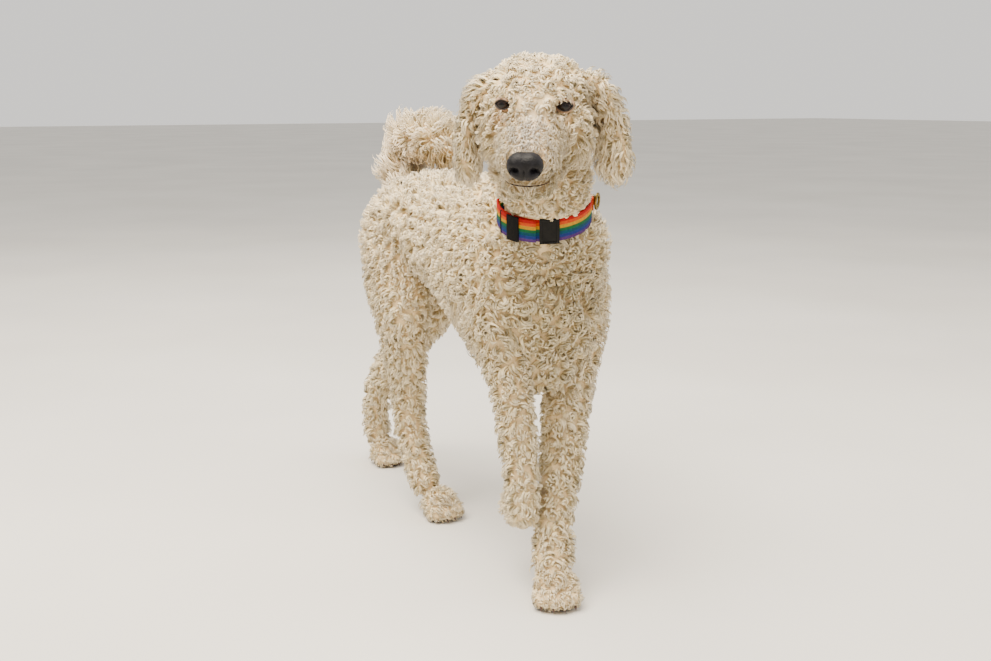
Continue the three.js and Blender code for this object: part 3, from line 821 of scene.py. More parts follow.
@dataclass(frozen=True)
class Body:
    """Every length of flesh of the dog, from named stations, and its four feet."""

    toes: tuple[float, ...] = (-1.5, -0.5, 0.5, 1.5)
    toe_half: Point = (10.5, 17.0, 15.5)
    toe_gap: float = 15.0  # distance between the middles of neighbouring toes
    inner_ahead: float = 22.0  # how far the two inner toes reach ahead of the foot's middle
    outer_ahead: float = 15.0

    def toe_ahead(self, toe: float) -> float:
        """Finds how far a toe reaches ahead: the two inner ones furthest."""
        return self.inner_ahead if abs(toe) < 1 else self.outer_ahead

    def paws(self) -> list[Paw]:
        """Lists the feet: the right forefoot is lifted and folded back."""
        return [
            Paw("fore_left", (-24, -312, 0), -24, 1.0),
            Paw("fore_right", (-16, -204, 124), -28, 0.8, 146),
            Paw("hind_right", (6, 78, 0), 4, 0.93),
            Paw("hind_left", (60, 400, 0), 6, 0.93),
        ]

    def trunk(self) -> list[Limb]:
        """Lists the trunk and the neck."""
        rows = (
            trunk_row(306, 32, WITHERS - 96, WITHERS - 148),
            trunk_row(280, 54, WITHERS - 56, WITHERS - 174),
            trunk_row(236, 68, WITHERS - 29, WITHERS - 176),
            trunk_row(178, 71, WITHERS - 16, WITHERS - 168),
            trunk_row(110, 70, WITHERS - 12, WITHERS - 158),
            trunk_row(38, 74, WITHERS - 14, WITHERS - 170),
            trunk_row(-40, 84, WITHERS - 10, WITHERS - 202),
            trunk_row(-115, 89, WITHERS, WITHERS - 240),
            trunk_row(-180, 90, WITHERS - 14, WITHERS - 274),
            trunk_row(-228, 80, WITHERS - 52, WITHERS - 266),
            trunk_row(-262, 52, WITHERS - 94, WITHERS - 212),
        )
        neck = (
            (18, -180, 424, 80, 66),
            (15, -219, 474, 74, 58),
            (-6, -249, 520, 47, 47),
            (-20, -272, 560, 47, 47),
            (-40, -290, 594, 50, 46),
            (-54, -304, 624, 43, 40),
        )
        return [
            Limb("trunk", rows, DEPTH["body"], Coat.BODY, facing=(0, -1, 0), cap=0.1),
            Limb("neck", neck, DEPTH["neck"], Coat.NECK, side=(0.94, -0.34, 0), cap=0.08),
        ]

    def legs(self) -> list[Limb]:
        """Lists the four legs and the folded pastern of the lifted one."""
        fore_left = (
            (97, -150, 468, 26, 42),
            (101, -172, 420, 30, 42),
            (97, -185, 366, 28, 40),
            (86, -187, 322, 28, 36),
            (71, -197, 284, 27, 30),
            (57, -208, 246, 25, 26),
            (43, -224, 200, 23, 22),
            (25, -242, 154, 20, 18),
            (7, -259, 112, 19, 16),
            (-11, -283, 62, 19, 17),
            (-20, -301, 30, 20, 18),
        )
        fore_right = (
            (-48, -154, 468, 18, 34),
            (-50, -181, 420, 22, 35),
            (-50, -200, 366, 22, 32),
            (-47, -213, 324, 20, 28),
            (-43, -229, 286, 19, 24),
            (-43, -244, 232, 17, 20),
            (-44, -257, 176, 15, 17),
            (-43, -262, 122, 14, 16),
            (-42, -260, 106, 12, 13),
        )
        pastern = ((-42, -264, 116, 13, 14), (-33, -240, 112, 13, 13), (-24, -216, 110, 14, 13))
        hind_right = (
            (-14, 200, 470, 32, 62),
            (-22, 174, 400, 33, 66),
            (-26, 150, 335, 29, 52),
            (-20, 152, 268, 22, 34),
            (-10, 162, 205, 16, 24),
            (-8, 162, 150, 15, 19),
            (-7, 136, 92, 14, 16),
            (-2, 105, 34, 14, 16),
        )
        hind_left = (
            (92, 232, 470, 34, 66),
            (98, 236, 400, 36, 68),
            (90, 258, 335, 30, 50),
            (80, 306, 270, 22, 32),
            (61, 364, 205, 16, 23),
            (53, 408, 148, 14, 20),
            (52, 425, 92, 13, 15),
            (56, 424, 34, 13, 15),
        )
        depth = DEPTH["leg"]
        return [
            Limb("fore_left", fore_left, depth, Coat.LEG, side=(0.95, -0.3, 0), cap=0.07),
            Limb("fore_right", fore_right, depth, Coat.LEG, side=(0.97, -0.2, 0), cap=0.07),
            Limb("pastern", pastern, depth, Coat.LEG, side=(0.94, 0.34, 0), cap=0.3),
            Limb("hind_right", hind_right, depth, Coat.LEG, side=(1, 0.1, 0), cap=0.07),
            Limb("hind_left", hind_left, depth, Coat.LEG, side=(1, 0.1, 0), cap=0.07),
        ]

    def feet(self) -> list[Limb]:
        """Lists the feet and their toes, each toe a short length of its own."""
        made = []
        for paw in self.paws():
            foot = ((0, 27, 24, 17, 17), (0, 6, 24, 25, 22), (0, -20, 20, 23, 17))
            depth = DEPTH["paw"]
            made.append(Limb(f"foot_{paw.name}", foot, depth, Coat.PAW, cap=0.35, place=paw.place))
            for number, toe in enumerate(self.toes):
                a, b, c = self.toe_half
                x = toe * self.toe_gap
                y = -self.toe_ahead(toe)
                run = ((x, y + b, 15, a, c), (x, y, 15, a, c), (x, y - b, 13, a, c))
                thin = tuple((*middle, half - 2.5, deep - 3.5) for *middle, half, deep in run)
                made.append(Limb(f"toe_{paw.name}_{number}", thin, 4.0, Coat.PAW, cap=0.5, place=paw.place))
        return made

    def tail(self) -> list[Limb]:
        """Lists the tail's root and its plume, which curls forward over the back."""
        root = (
            (46, 240, 494, 18, 18),
            (46, 270, 524, 16, 16),
            (46, 288, 553, 14, 14),
            (47, 291, 580, 12, 12),
        )
        plume = (
            (48, 286, 594, 12, 12),
            (55, 248, 609, 13, 13),
            (66, 202, 605, 12, 12),
            (78, 154, 585, 9, 9),
        )
        return [
            Limb("tail_root", root, DEPTH["tail"], Coat.TAIL, cap=0.25),
            Limb("tail_plume", plume, DEPTH["tail"], Coat.TAIL, cap=0.25),
        ]

    def head(self) -> list[Limb]:
        """Lists the head's lengths, in its own frame: the nose towards -Y, the eyes either side of 0."""
        skull = (
            (0, 92, -8, 30, 30),
            (0, 68, -6, 42, 36),
            (0, 36, -6, 48, 36),
            (0, 6, -10, 45, 32),
            (0, -24, -22, 34, 27),
        )
        topknot = ((0, 92, -4, 31, 26), (0, 60, 6, 46, 26), (0, 28, 6, 46, 21), (0, 10, 4, 36, 13))
        muzzle = ((0, 4, -30, 37, 30), (0, -28, -33, 33, 25), (0, -62, -36, 30, 20), (0, -95, -38, 27, 16))
        jaw = ((0, 34, -60, 38, 23), (0, 0, -66, 34, 18), (0, -45, -72, 27, 12), (0, -82, -73, 21, 8))
        made = [
            Limb("skull", skull, DEPTH["skull"], Coat.SKULL, cap=0.22, place=HEAD),
            Limb("topknot", topknot, DEPTH["topknot"], Coat.TOPKNOT, cap=0.34, place=HEAD),
            Limb("muzzle", muzzle, DEPTH["muzzle"], Coat.MUZZLE, cap=0.16, place=HEAD),
            Limb("jaw", jaw, DEPTH["muzzle"], Coat.MUZZLE, cap=0.16, place=HEAD),
        ]
        for name, side in (("cheek_right", -1), ("cheek_left", 1)):
            run = ((side * 38, 66, -24, 17, 30), (side * 42, 34, -38, 18, 34), (side * 32, -4, -50, 16, 26))
            made.append(Limb(name, run, DEPTH["cheek"], Coat.CHEEK, cap=0.3, place=HEAD))
        return made

    def ears(self) -> list[Limb]:
        """Lists the ears, which hang straight down; the left one flares outwards."""
        made = []
        kinds = (("ear_right", -1, 0, (1, 0, 0)), ("ear_left", 1, 8, (0.88, 0.47, 0)))
        for name, side, flare, way in kinds:
            run = (
                (side * 50, 54, 28, 9, 20),
                (side * (72 + flare * 0.2), 56 + flare * 0.5, 12, 6, 25),
                (side * (83 + flare * 0.4), 58 + flare, -22, 4.5, 28),
                (side * (87 + flare * 0.6), 58 + flare, -56, 4.5, 29),
                (side * (86 + flare), 56 + flare, -87, 5, 26),
            )
            made.append(Limb(name, run, DEPTH["ear"], Coat.EAR, side=way, cap=0.13, place=EARS))
        return made

    def limbs(self) -> list[Limb]:
        """Lists every length of flesh."""
        return self.trunk() + self.legs() + self.feet() + self.tail() + self.head() + self.ears()


# Places on the head and neck that the skin, the coat and the small pieces share


@dataclass(frozen=True)
class EyePair:
    """The eyes and lids, in the head's frame, toed out and pitched back by a share of the head's pitch."""

    apart: float = 35.0
    back: float = 5.0
    down: float = -0.5
    radius: float = 11.0
    toe_out: float = 14.0
    pitch_share: float = 0.6
    fissure_wide: float = 17.0
    fissure_tall: float = 9.8
    dish: Point = (18.0, 14.0, 12.5)
    dish_at: Point = (39.0, -9.0, -1.0)

    def place(self, side: int) -> Place:
        """Gives one eye's frame, looking along -Y.

        Args:
            side: 1 for the dog's left, -1 for its right.

        Returns:
            The place, in the dog's frame.
        """
        turn = HEAD.turn @ rotation("z", side * self.toe_out) @ rotation("x", -HEAD_PITCH * self.pitch_share)
        middle = HEAD.out(np.array([side * self.apart, self.back, self.down]))
        return Place(turn, tuple(middle))


@dataclass(frozen=True)
class Nose:
    """The nose leather, in the head's frame: a rounded block with comma nostrils and a groove."""

    at: Point = (0.0, -104.0, -31.0)
    half: float = 21.0
    long: float = 13.0
    tall: float = 16.5
    nostril_x: float = 9.8
    nostril_z: float = -1.5
    nostril_deep: float = 7.5


@dataclass(frozen=True)
class Lips:
    """The line where the upper lip meets the lower jaw, in the head's frame, with corners that turn up."""

    line: tuple[Point, ...] = (
        (-31, -26, -61),
        (-30, -34, -63),
        (-29, -62, -60),
        (-22, -92, -58),
        (0, -105, -56),
        (22, -92, -58),
        (29, -62, -60),
        (30, -34, -63),
        (31, -26, -61),
    )

    def points(self, count: int) -> Array:
        """Runs a smooth curve through the line's points.

        Args:
            count: How many points to give.

        Returns:
            Points in the head's frame.
        """
        run = Limb("lips", tuple((*p, 1.0, 1.0) for p in self.line), 0, Coat.MUZZLE)
        return run.path(np.linspace(0, 1, count))


@dataclass(frozen=True)
class CollarSizes:
    """The collar's shape, in its own frame: axis along +Z, the throat towards -Y, the dog's left at +X."""

    at: Point = (-6.0, -249.0, 525.0)
    half: float = 60.0
    deep: float = 56.0
    width: float = 32.0
    thick: float = 3.0
    lean: Point = (-0.21, -0.32, 0.92)
    left: Point = (0.94, -0.34, 0.0)

    @property
    def place(self) -> Place:
        """The collar's own frame."""
        up = unit(np.array(self.lean))
        left = np.array(self.left)
        left = unit(left - up * (left @ up))
        return Place(np.stack([left, np.cross(up, left), up], axis=1), self.at)


# Markings and painted shade: what the skin and the coat show alike


@dataclass(frozen=True)
class MarkOrShadeSpot:
    """A soft spot of colour, a real mark in some places and a painted shade in others: its middle and reach
    in a place's frame, its strength, and where it acts.
    """

    place: Place
    middle: Point
    reach: Point
    colour: str
    strength: float

    def share(self, points: Array) -> Array:
        """Measures the mark at each point, strength * exp(-d^2), with d in reaches from its middle.

        Args:
            points: Points of the dog's frame.

        Returns:
            A share from 0 to 1 for each point.
        """
        away = (self.place.into(points) - np.array(self.middle)) / np.array(self.reach)
        return self.strength * np.exp(-np.sum(away**2, axis=1))


WORLD = Place(np.eye(3), (0.0, 0.0, 0.0))


@dataclass(frozen=True)
class MarkingsAndShade:
    """The colours of the coat: cream tips, a tan painted shade at the roots between the curls, and soft spots
    from face to rear, some of them real marks and some painted shade.
    """

    tip: str = "f9e7c2"
    # the roots' tan is painted shade, standing for the shadow deep between the curls
    root: str = "d8bd88"
    marks_and_shades: tuple[MarkOrShadeSpot, ...] = (
        MarkOrShadeSpot(HEAD, (0, -62, -8), (24, 42, 22), "f8f0e4", 0.85),
        MarkOrShadeSpot(HEAD, (0, -96, -14), (22, 16, 14), "c9bdb6", 0.7),
        MarkOrShadeSpot(HEAD, (-40, -8, -14), (9, 12, 12), "d9a78d", 0.6),
        MarkOrShadeSpot(HEAD, (39, -8, -14), (8, 11, 10), "dcb89f", 0.35),
        MarkOrShadeSpot(HEAD, (-26, -80, -62), (11, 26, 11), "7d5b3c", 0.8),
        MarkOrShadeSpot(HEAD, (27, -80, -62), (13, 26, 12), "71502f", 0.85),
        # these two are painted shade on the inner edge of each ear, where it lies against the cheek
        MarkOrShadeSpot(HEAD, (68, 46, -32), (8, 22, 34), "93724a", 0.7),
        MarkOrShadeSpot(HEAD, (-71, 24, -60), (7, 16, 26), "9a7a52", 0.6),
        # painted shade under the jaw
        MarkOrShadeSpot(HEAD, (4, -62, -88), (34, 36, 16), "8c7a4c", 0.7),
        MarkOrShadeSpot(HEAD, (0, 10, 40), (60, 60, 26), "f3e2c2", 0.5),
        # these four are painted shade: olive on the throat, tan on the chest, paler on the fore and hind
        # lower legs, out of the light from above
        MarkOrShadeSpot(WORLD, (-90, -385, 545), (60, 44, 30), "8f8152", 0.65),
        MarkOrShadeSpot(WORLD, (-15, -262, 400), (90, 60, 110), "cbb786", 0.6),
        MarkOrShadeSpot(WORLD, (0, -250, 150), (120, 110, 130), "e0cfa4", 0.5),
        MarkOrShadeSpot(WORLD, (20, 250, 200), (120, 260, 150), "d2c096", 0.5),
        MarkOrShadeSpot(WORLD, (40, 290, 480), (120, 70, 120), "f0d9bd", 0.6),
        MarkOrShadeSpot(WORLD, (50, 270, 600), (80, 90, 60), "fbe4c6", 0.6),
    )

    def colours(self, points: Array) -> tuple[Array, Array]:
        """Works out the coat's colour at its roots and at its tips.

        Args:
            points: Points of the dog's frame.

        Returns:
            Linear root and tip colours, one row for each point; the roots' tan is a painted shade between the
            curls.
            A spot pulls the tip towards its own colour by its share, and the root by half as much, darkened
            as more painted shade.
        """
        tip = np.tile(np.array(linear(self.tip)[:3]), (len(points), 1))
        root = np.tile(np.array(linear(self.root)[:3]), (len(points), 1))
        for spot in self.marks_and_shades:
            share = spot.share(points)[:, None]
            colour = np.array(linear(spot.colour)[:3])
            tip = tip * (1 - share) + colour * share
            root = root * (1 - 0.5 * share) + 0.45 * colour * 0.5 * share
        return root, tip


# The skin


@dataclass
class Ground:
    """The finished skin as arrays: what the coat grows on."""

    points: Array
    triangles: Array
    uv: Array
    normals: Array
    depth: Array
    lie: Array
    style: Array
    limb: Array


@dataclass
class Skin:
    """One closed skin over every length of flesh, with dished eyes and a line for the mouth."""

    body: Body
    eyes: EyePair
    lips: Lips
    markings_and_shade: MarkingsAndShade
    voxel: float = 4.6
    grid: tuple[int, int] = (40, 28)  # rings and columns of a length of flesh
    toe_grid: tuple[int, int] = (14, 14)
    field_grid: tuple[int, int] = (26, 16)  # the same, where only the coat's depth and lie are read
    toe_field_grid: tuple[int, int] = (8, 8)
    thin_coat: float = 5.0  # toes, whose coat is thinner than this, take the coarser grids
    under: float = 0.6  # how far the skin stays under the solids' core
    blend: float = 9.0  # how softly the coat's depth and lie pass from one length to the next
    groove: float = 3.2  # depth of the line of the mouth
    groove_half: float = 3.0
    mouth_front: float = -70.0  # the groove sinks towards a line inside the mouth that ends here, at y
    mouth_down: float = -58.0  # and lies at this height, z

    def replaced(self) -> tuple[str, ...]:
        """Lists the CAD nodes of flesh and coat."""
        return tuple(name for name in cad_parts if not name.startswith(("eye_", "nose", "collar_")))

    def skin_of(self, limb: Limb, grid: tuple[int, int], toe_grid: tuple[int, int]) -> Surface:
        """Builds the skin over one length of flesh, CORE_SHARE of the coat's depth above the flesh."""
        rings, columns = grid if limb.coat > self.thin_coat else toe_grid
        return limb.surface(rings, columns, max(limb.coat * CORE_SHARE - self.under, 0.0))

    def melted(self) -> tuple[Array, Array]:
        """Melts all the lengths into one skin by a voxel remesh and a light smoothing.

        Returns:
            Its points in the dog's frame, in millimetres, and its quads.
        """
        rough = joined([self.skin_of(limb, self.grid, self.toe_grid) for limb in self.body.limbs()])
        data = bpy.data.meshes.new("rough")
        data.from_pydata((rough.points / 1000).tolist(), [], rough.faces.tolist())
        source = bpy.data.objects.new("rough", data)
        bpy.context.scene.collection.objects.link(source)
        remesh = source.modifiers.new("melt", "REMESH")
        remesh.mode = "VOXEL"
        remesh.voxel_size = self.voxel / 1000
        relax = source.modifiers.new("relax", "SMOOTH")
        relax.factor = 0.5
        relax.iterations = 6
        final = bpy.data.meshes.new_from_object(source.evaluated_get(bpy.context.evaluated_depsgraph_get()))
        points = np.empty(len(final.vertices) * 3, np.float32)
        final.vertices.foreach_get("co", points)
        quads = np.empty(len(final.loops), np.int32)
        final.loops.foreach_get("vertex_index", quads)
        bpy.data.objects.remove(source)
        bpy.data.meshes.remove(final)
        return points.reshape(-1, 3).astype(float) * 1000, quads.reshape(-1, 4)

    def carved(self, points: Array) -> Array:
        """Dishes the skin round the eyes and cuts the line of the mouth.

        Args:
            points: The melted skin's points.

        Returns:
            The same points, moved. In an eye's dish a point goes back to the dish's ellipsoid, and at d from
            the line of the lips it sinks into the mouth by groove * exp(-(d / groove_half)^2).
        """
        local = HEAD.into(points)
        for side in (-1, 1):
            middle = np.array([side * self.eyes.dish_at[0], self.eyes.dish_at[1], self.eyes.dish_at[2]])
            a, b, c = self.eyes.dish
            off = local - middle
            flat = (off[:, 0] / a) ** 2 + (off[:, 2] / c) ** 2
            floor = b * np.sqrt(np.maximum(0, 1 - flat))
            inside = (flat < 1) & (off[:, 1] < floor) & (off[:, 1] > -40)
            local[inside, 1] = (middle[1] + floor)[inside]
        near = np.abs(local[:, 1] + 60) < 70
        line = self.lips.points(80)
        away = np.linalg.norm(local[near][:, None, :] - line[None, :, :], axis=2).min(axis=1)
        mouth = local[near] * np.array([0.0, 1.0, 0.0]) + np.array([0.0, 0.0, self.mouth_down])
        mouth[:, 1] = np.maximum(mouth[:, 1], self.mouth_front)
        sunk = self.groove * np.exp(-((away / self.groove_half) ** 2))
        local[near] += unit(mouth - local[near]) * sunk[:, None]
        return HEAD.out(local)

    def fields(self, points: Array) -> tuple[Array, Array, Array, Array]:
        """Carries the coat's depth, lie and style from the lengths of flesh to the skin.

        Args:
            points: The skin's points.

        Returns:
            Depth and lie, each a blend over all the lengths' surface points with the weight
            exp(-(d^2 - nearest^2) / blend^2), and the numbers of the nearest length and of its style.
        """
        limbs = self.body.limbs()
        styles = list(Coat)
        anchors, depths, lies, kinds, owners = [], [], [], [], []
        for number, limb in enumerate(limbs):
            rings, columns = self.field_grid if limb.coat > self.thin_coat else self.toe_field_grid
            grid = self.skin_of(limb, self.field_grid, self.toe_field_grid)
            anchors.append(grid.points)
            depths.append(np.full(len(grid.points), limb.coat))
            lies.append(limb.lie(rings, columns))
            kinds.append(np.full(len(grid.points), styles.index(limb.style)))
            owners.append(np.full(len(grid.points), number))
        anchor = np.concatenate(anchors).astype(np.float32)
        carried = np.concatenate([np.concatenate(depths)[:, None], np.concatenate(lies)], axis=1)
        carried = carried.astype(np.float32)
        kind = np.concatenate(kinds)
        owner = np.concatenate(owners)
        square = (anchor**2).sum(axis=1)
        blended = np.empty((len(points), 4), np.float32)
        nearest = np.empty(len(points), int)
        for start in range(0, len(points), 1500):
            some = points[start : start + 1500].astype(np.float32)
            apart = (some**2).sum(axis=1)[:, None] + square - 2 * some @ anchor.T
            closest = apart.argmin(axis=1)
            nearest[start : start + 1500] = closest
            weight = np.exp(-(apart - apart.min(axis=1, keepdims=True)) / self.blend**2)
            blended[start : start + 1500] = (weight @ carried) / weight.sum(axis=1, keepdims=True)
        blended = blended.astype(float)
        return blended[:, 0], unit(blended[:, 1:]), kind[nearest], owner[nearest]

    def build(self, shop: Workshop, material: bpy.types.Material) -> Ground:
        """Makes the skin piece, unwraps it and measures what the coat grows on.

        Args:
            shop: Where pieces are made.
            material: The skin's finish.

        Returns:
            The skin as arrays.
        """
        points, quads = self.melted()
        points = self.carved(points)
        depth, lie, style, limb = self.fields(points)
        root, tip = self.markings_and_shade.colours(points)
        # The skin is coloured mostly as the roots, so it carries their painted shade between the curls and
        # the spots' painted shade too
        peach = np.array(linear("d8b79c")[:3])
        surface = Surface(points, quads, None, 0.6 * root + 0.25 * tip + 0.15 * peach)
        skin = shop.piece("skin", surface, material, self.replaced())
        for other in bpy.context.selected_objects:
            other.select_set(False)
        skin.select_set(True)
        bpy.context.view_layer.objects.active = skin
        skin.data.uv_layers.new(name="OFBake")
        bpy.ops.object.mode_set(mode="EDIT")
        bpy.ops.mesh.select_all(action="SELECT")
        bpy.ops.uv.smart_project(angle_limit=math.radians(66), island_margin=0.001)
        bpy.ops.object.mode_set(mode="OBJECT")
        skin.select_set(False)
        uv = np.empty(len(skin.data.loops) * 2, np.float32)
        skin.data.uv_layers["OFBake"].data.foreach_get("uv", uv)
        uv = uv.reshape(-1, 4, 2)
        triangles = np.concatenate([quads[:, [0, 1, 2]], quads[:, [0, 2, 3]]])
        corner_uv = np.concatenate([uv[:, [0, 1, 2]], uv[:, [0, 2, 3]]])
        across = points[triangles[:, 1]] - points[triangles[:, 0]]
        along = points[triangles[:, 2]] - points[triangles[:, 0]]
        facing = np.cross(across, along)
        normals = np.zeros_like(points)
        for corner in range(3):
            for axis in range(3):
                normals[:, axis] += np.bincount(triangles[:, corner], facing[:, axis], len(points))
        return Ground(points, triangles, corner_uv, unit(normals), depth, lie, style, limb)


# The coat


@dataclass
class Fleece:
    """The curled coat: thousands of tapered locks, rooted in the skin and gathered into bunches."""

    body: Body
    eyes: EyePair
    nose: Nose
    lips: Lips
    collar: CollarSizes
    markings_and_shade: MarkingsAndShade
    seed: int = 7
    rings: int = 6  # sections of a lock, the last one its point
    sides: int = 3
    sink: float = 1.5  # how deep a lock is rooted under the skin
    patch: float = 0.003  # width of a lock's patch on the skin's unwrap
    flat: float = 1.5  # a lock is this much wider than it is thick
    rounding: float = 1.0  # how much the shading rounds each bunch
    crisp: float = 0.3  # how much the shading shows each lock
    packing: float = 0.87  # area that a root takes, in squares of the spacing, as in rows of triangles
    eye_half: tuple[float, float] = (9.6, 6.0)  # half sizes of the bare oval round an open eye
    brow_share: float = 0.36  # share of the coat's length that is kept next to the eye, above it
    under_eye_share: float = 0.28  # and below it
    bare_nose: float = 1.06  # the coat is bare out to this many half sizes of the nose
    nose_share: float = 0.45
    ruff: float = 1.1  # how much longer the coat grows behind the jaw, at ruff_at either side of the head
    ruff_at: Point = (48.0, 6.0, -46.0)
    ruff_reach: Point = (22.0, 34.0, 36.0)
    lip_half: float = 17.0  # the lips are bare this far either side of their middle
    bare_lip: float = 1.2
    lip_share: float = 0.4  # share of the length that is kept next to the bare part of the lips
    side_lip_share: float = 0.7  # and over the rest of the mouth
    collar_share: float = 0.4
    sole_half: tuple[float, float] = (45.0, 60.0)
    sole_top: float = 5.0  # the underside of a foot is bare up to here
    floor: float = 0.3  # the lowest hair stays this far off the floor
    bunch_reach: float = 0.62  # a bunch's edge, in distances between the middles of bunches
    most: int = 7000  # locks in one piece, so that it stays under 200,000 triangles

    def group(self, limb: Limb) -> str:
        """Names the coat piece that a length of flesh belongs to."""
        words = limb.name.split("_")
        kind = words[0]
        if kind in ("foot", "toe"):
            return "coat_leg_" + "_".join(words[1:3])
        if kind in ("fore", "hind"):
            return "coat_leg_" + limb.name
        if kind == "ear":
            return "coat_" + limb.name
        head = {"skull": "head", "topknot": "head", "cheek": "head", "muzzle": "face", "jaw": "face"}
        return "coat_" + (head | {"pastern": "leg_fore_right"}).get(kind, kind)

    def length_share(self, points: Array) -> Array:
        """Works out how much of its length the coat keeps: 0 is bare, 1 is whole, and more is a ruff.

        Args:
            points: Roots in the dog's frame.

        Returns:
            The product of a smooth rise away from each bare place, which are the open eyes, the nose, the
            lips, the band of the collar and the soles, and of 1 + ruff * exp(-d^2) behind both sides of the
            jaw.
        """
        head = HEAD.into(points)
        share = np.ones(len(points))
        for side in (-1, 1):
            local = self.eyes.place(side).into(points)
            ring = np.hypot(local[:, 0] / self.eye_half[0], (local[:, 2] - 0.2) / self.eye_half[1])
            front = np.linalg.norm(local, axis=1) < 34
            brow = np.where(local[:, 2] > 0, self.brow_share, self.under_eye_share)
            rise = (brow + (1 - brow) * smooth(1.0, 2.2, ring)) * (ring > 1.0)
            share = np.where(front, share * rise, share)
        block = (head - np.array(self.nose.at)) / np.array([self.nose.half, self.nose.long, self.nose.tall])
        ring = (np.abs(block) ** 2.3).sum(axis=1) ** (1 / 2.3)
        rise = self.nose_share + (1 - self.nose_share) * smooth(1.0, 1.9, ring)
        share *= np.where(ring < self.bare_nose, 0.0, rise)
        for side in (-1, 1):
            away = (head - np.array(self.ruff_at) * (side, 1, 1)) / np.array(self.ruff_reach)
            share *= 1 + self.ruff * np.exp(-np.sum(away**2, axis=1))
        line = self.lips.points(60)
        near = np.linalg.norm(head, axis=1) < 150
        away = np.full(len(points), 99.0)
        away[near] = np.linalg.norm(head[near][:, None, :] - line[None, :, :], axis=2).min(axis=1)
        front = np.abs(head[:, 0]) < self.lip_half
        rise = np.where(front, self.lip_share, self.side_lip_share) + 0.3 * smooth(1.0, 10.0, away)
        share *= np.where((away < self.bare_lip) & front, 0.0, rise)
        local = self.collar.place.into(points)
        close = np.hypot(local[:, 0], local[:, 1]) < self.collar.half + 6
        over = np.abs(local[:, 2]) - self.collar.width / 2
        rise = self.collar_share + (1 - self.collar_share) * smooth(1.0, 16.0, over)
        share = np.where(close, share * np.where(over < 1.5, 0.0, rise), share)
        for paw in self.body.paws():
            x, y, z = paw.place.into(points).T
            under = (np.abs(x) < self.sole_half[0]) & (np.abs(y) < self.sole_half[1])
            share[under & (z < self.sole_top) & (z > -20)] = 0.0
        return share

    def roots(self, ground: Ground, random: np.random.Generator) -> tuple[Array, Array]:
        """Draws roots over the skin, as close as each place's style says.

        Args:
            ground: The skin.
            random: The seeded source of chance.

        Returns:
            For each root its triangle and its three weights there. The running sum of
            area / (packing spacing^2) is cut into steps of 1 with one root in each, to spread them evenly.
        """
        corners = ground.points[ground.triangles]
        facing = np.cross(corners[:, 1] - corners[:, 0], corners[:, 2] - corners[:, 0])
        area = 0.5 * np.linalg.norm(facing, axis=1)
        spacings = np.array([style.value.spacing for style in Coat])
        wanted = area / (self.packing * spacings[ground.style[ground.triangles[:, 0]]] ** 2)
        running = np.cumsum(wanted)
        steps = np.arange(int(running[-1])) + random.random(int(running[-1]))
        triangle = np.minimum(np.searchsorted(running, steps), len(area) - 1)
        u = random.random((len(triangle), 2))
        u = np.where(u.sum(axis=1, keepdims=True) > 1, 1 - u, u)
        return triangle, np.concatenate([u, 1 - u.sum(axis=1, keepdims=True)], axis=1)

    def bunches(self, roots: Array, style: Array, random: np.random.Generator) -> tuple[Array, Array]:
        """Picks bunch middles among the roots and finds each root's nearest.

        Args:
            roots: Root points.
            style: Each root's style number.
            random: The seeded source of chance.

        Returns:
            Each root's bunch number, and the middles.
        """
        chance = np.array([(kind.value.spacing / kind.value.bunch) ** 2 for kind in Coat])[style]
        middles = roots[random.random(len(roots)) < np.maximum(chance, 3 / len(roots))]
        square = (middles**2).sum(axis=1)
        bunch = np.empty(len(roots), int)
        for start in range(0, len(roots), 2000):
            some = roots[start : start + 2000]
            apart = (some**2).sum(axis=1)[:, None] + square - 2 * some @ middles.T
            bunch[start : start + 2000] = apart.argmin(axis=1)
        return bunch, middles

    def locks(
        self,
        roots: Array,
        normals: Array,
        lie: Array,
        height: Array,
        style: Array,
        uv: Array,
        random: np.random.Generator,
    ) -> Surface:
        """Builds one curled, tapered lock on each root.

        Args:
            roots: Root points.
            normals: The skin's normals there.
            lie: The way the coat lies there.
            height: How high each lock stands over the skin.
            style: Each root's style number.
            uv: Each root's place on the skin's unwrap.
            random: The seeded source of chance.

        Returns:
            The locks as one surface. With s from 0 at the root to 1 at the tip and the root at q from its
            bunch's middle, a lock's middle line is
            root + up ((h + sink) sin(0.62 pi s) - sink) + along l s^1.5 + own curl + wind(q) - q,
            where wind turns q by coil s about up and shrinks it by 1 - gather s^2. Its half width is
            w (1 - s^2)^0.7. In a bunch the middle stands highest, h falls by a share of 0.5 e^2 towards its
            edge at e = 1, and the shading rounds the bunch as one soft dome.
        """
        count = len(roots)
        names = ("half_width", "lean", "curl", "turns", "bunch", "coil", "gather", "swirl")
        sizes = np.array([[getattr(kind.value, name) for name in names] for kind in Coat])[style]
        half, lean, curl, turns, size, coil, gather, stray = (sizes[:, [k]] for k in range(8))
        bunch, middles = self.bunches(roots, style, random)
        own = random.random((len(middles), 6))[bunch]
        up = normals
        along = unit(lie - up * (lie * up).sum(axis=1, keepdims=True))
        swirl = np.radians(stray * (own[:, [0]] - 0.5) + 30 * (random.random((count, 1)) - 0.5))
        across = np.cross(up, along)
        turned = along * np.cos(swirl) + across * np.sin(swirl)
        across = across * np.cos(swirl) - along * np.sin(swirl)
        along = turned
        tilt = np.radians(lean + 16 * (own[:, [1]] - 0.5) + 14 * (random.random((count, 1)) - 0.5))
        off = roots - middles[bunch]
        off = off - up * (off * up).sum(axis=1, keepdims=True)
        edge = np.clip(np.linalg.norm(off, axis=1, keepdims=True) / (self.bunch_reach * size), 0, 1)
        h = height[:, None] * (0.86 + 0.14 * own[:, [2]]) * (0.92 + 0.16 * random.random((count, 1)))
        h = h * (1 - 0.5 * edge**2)
        reach = h * np.tan(np.minimum(tilt, math.radians(78)))
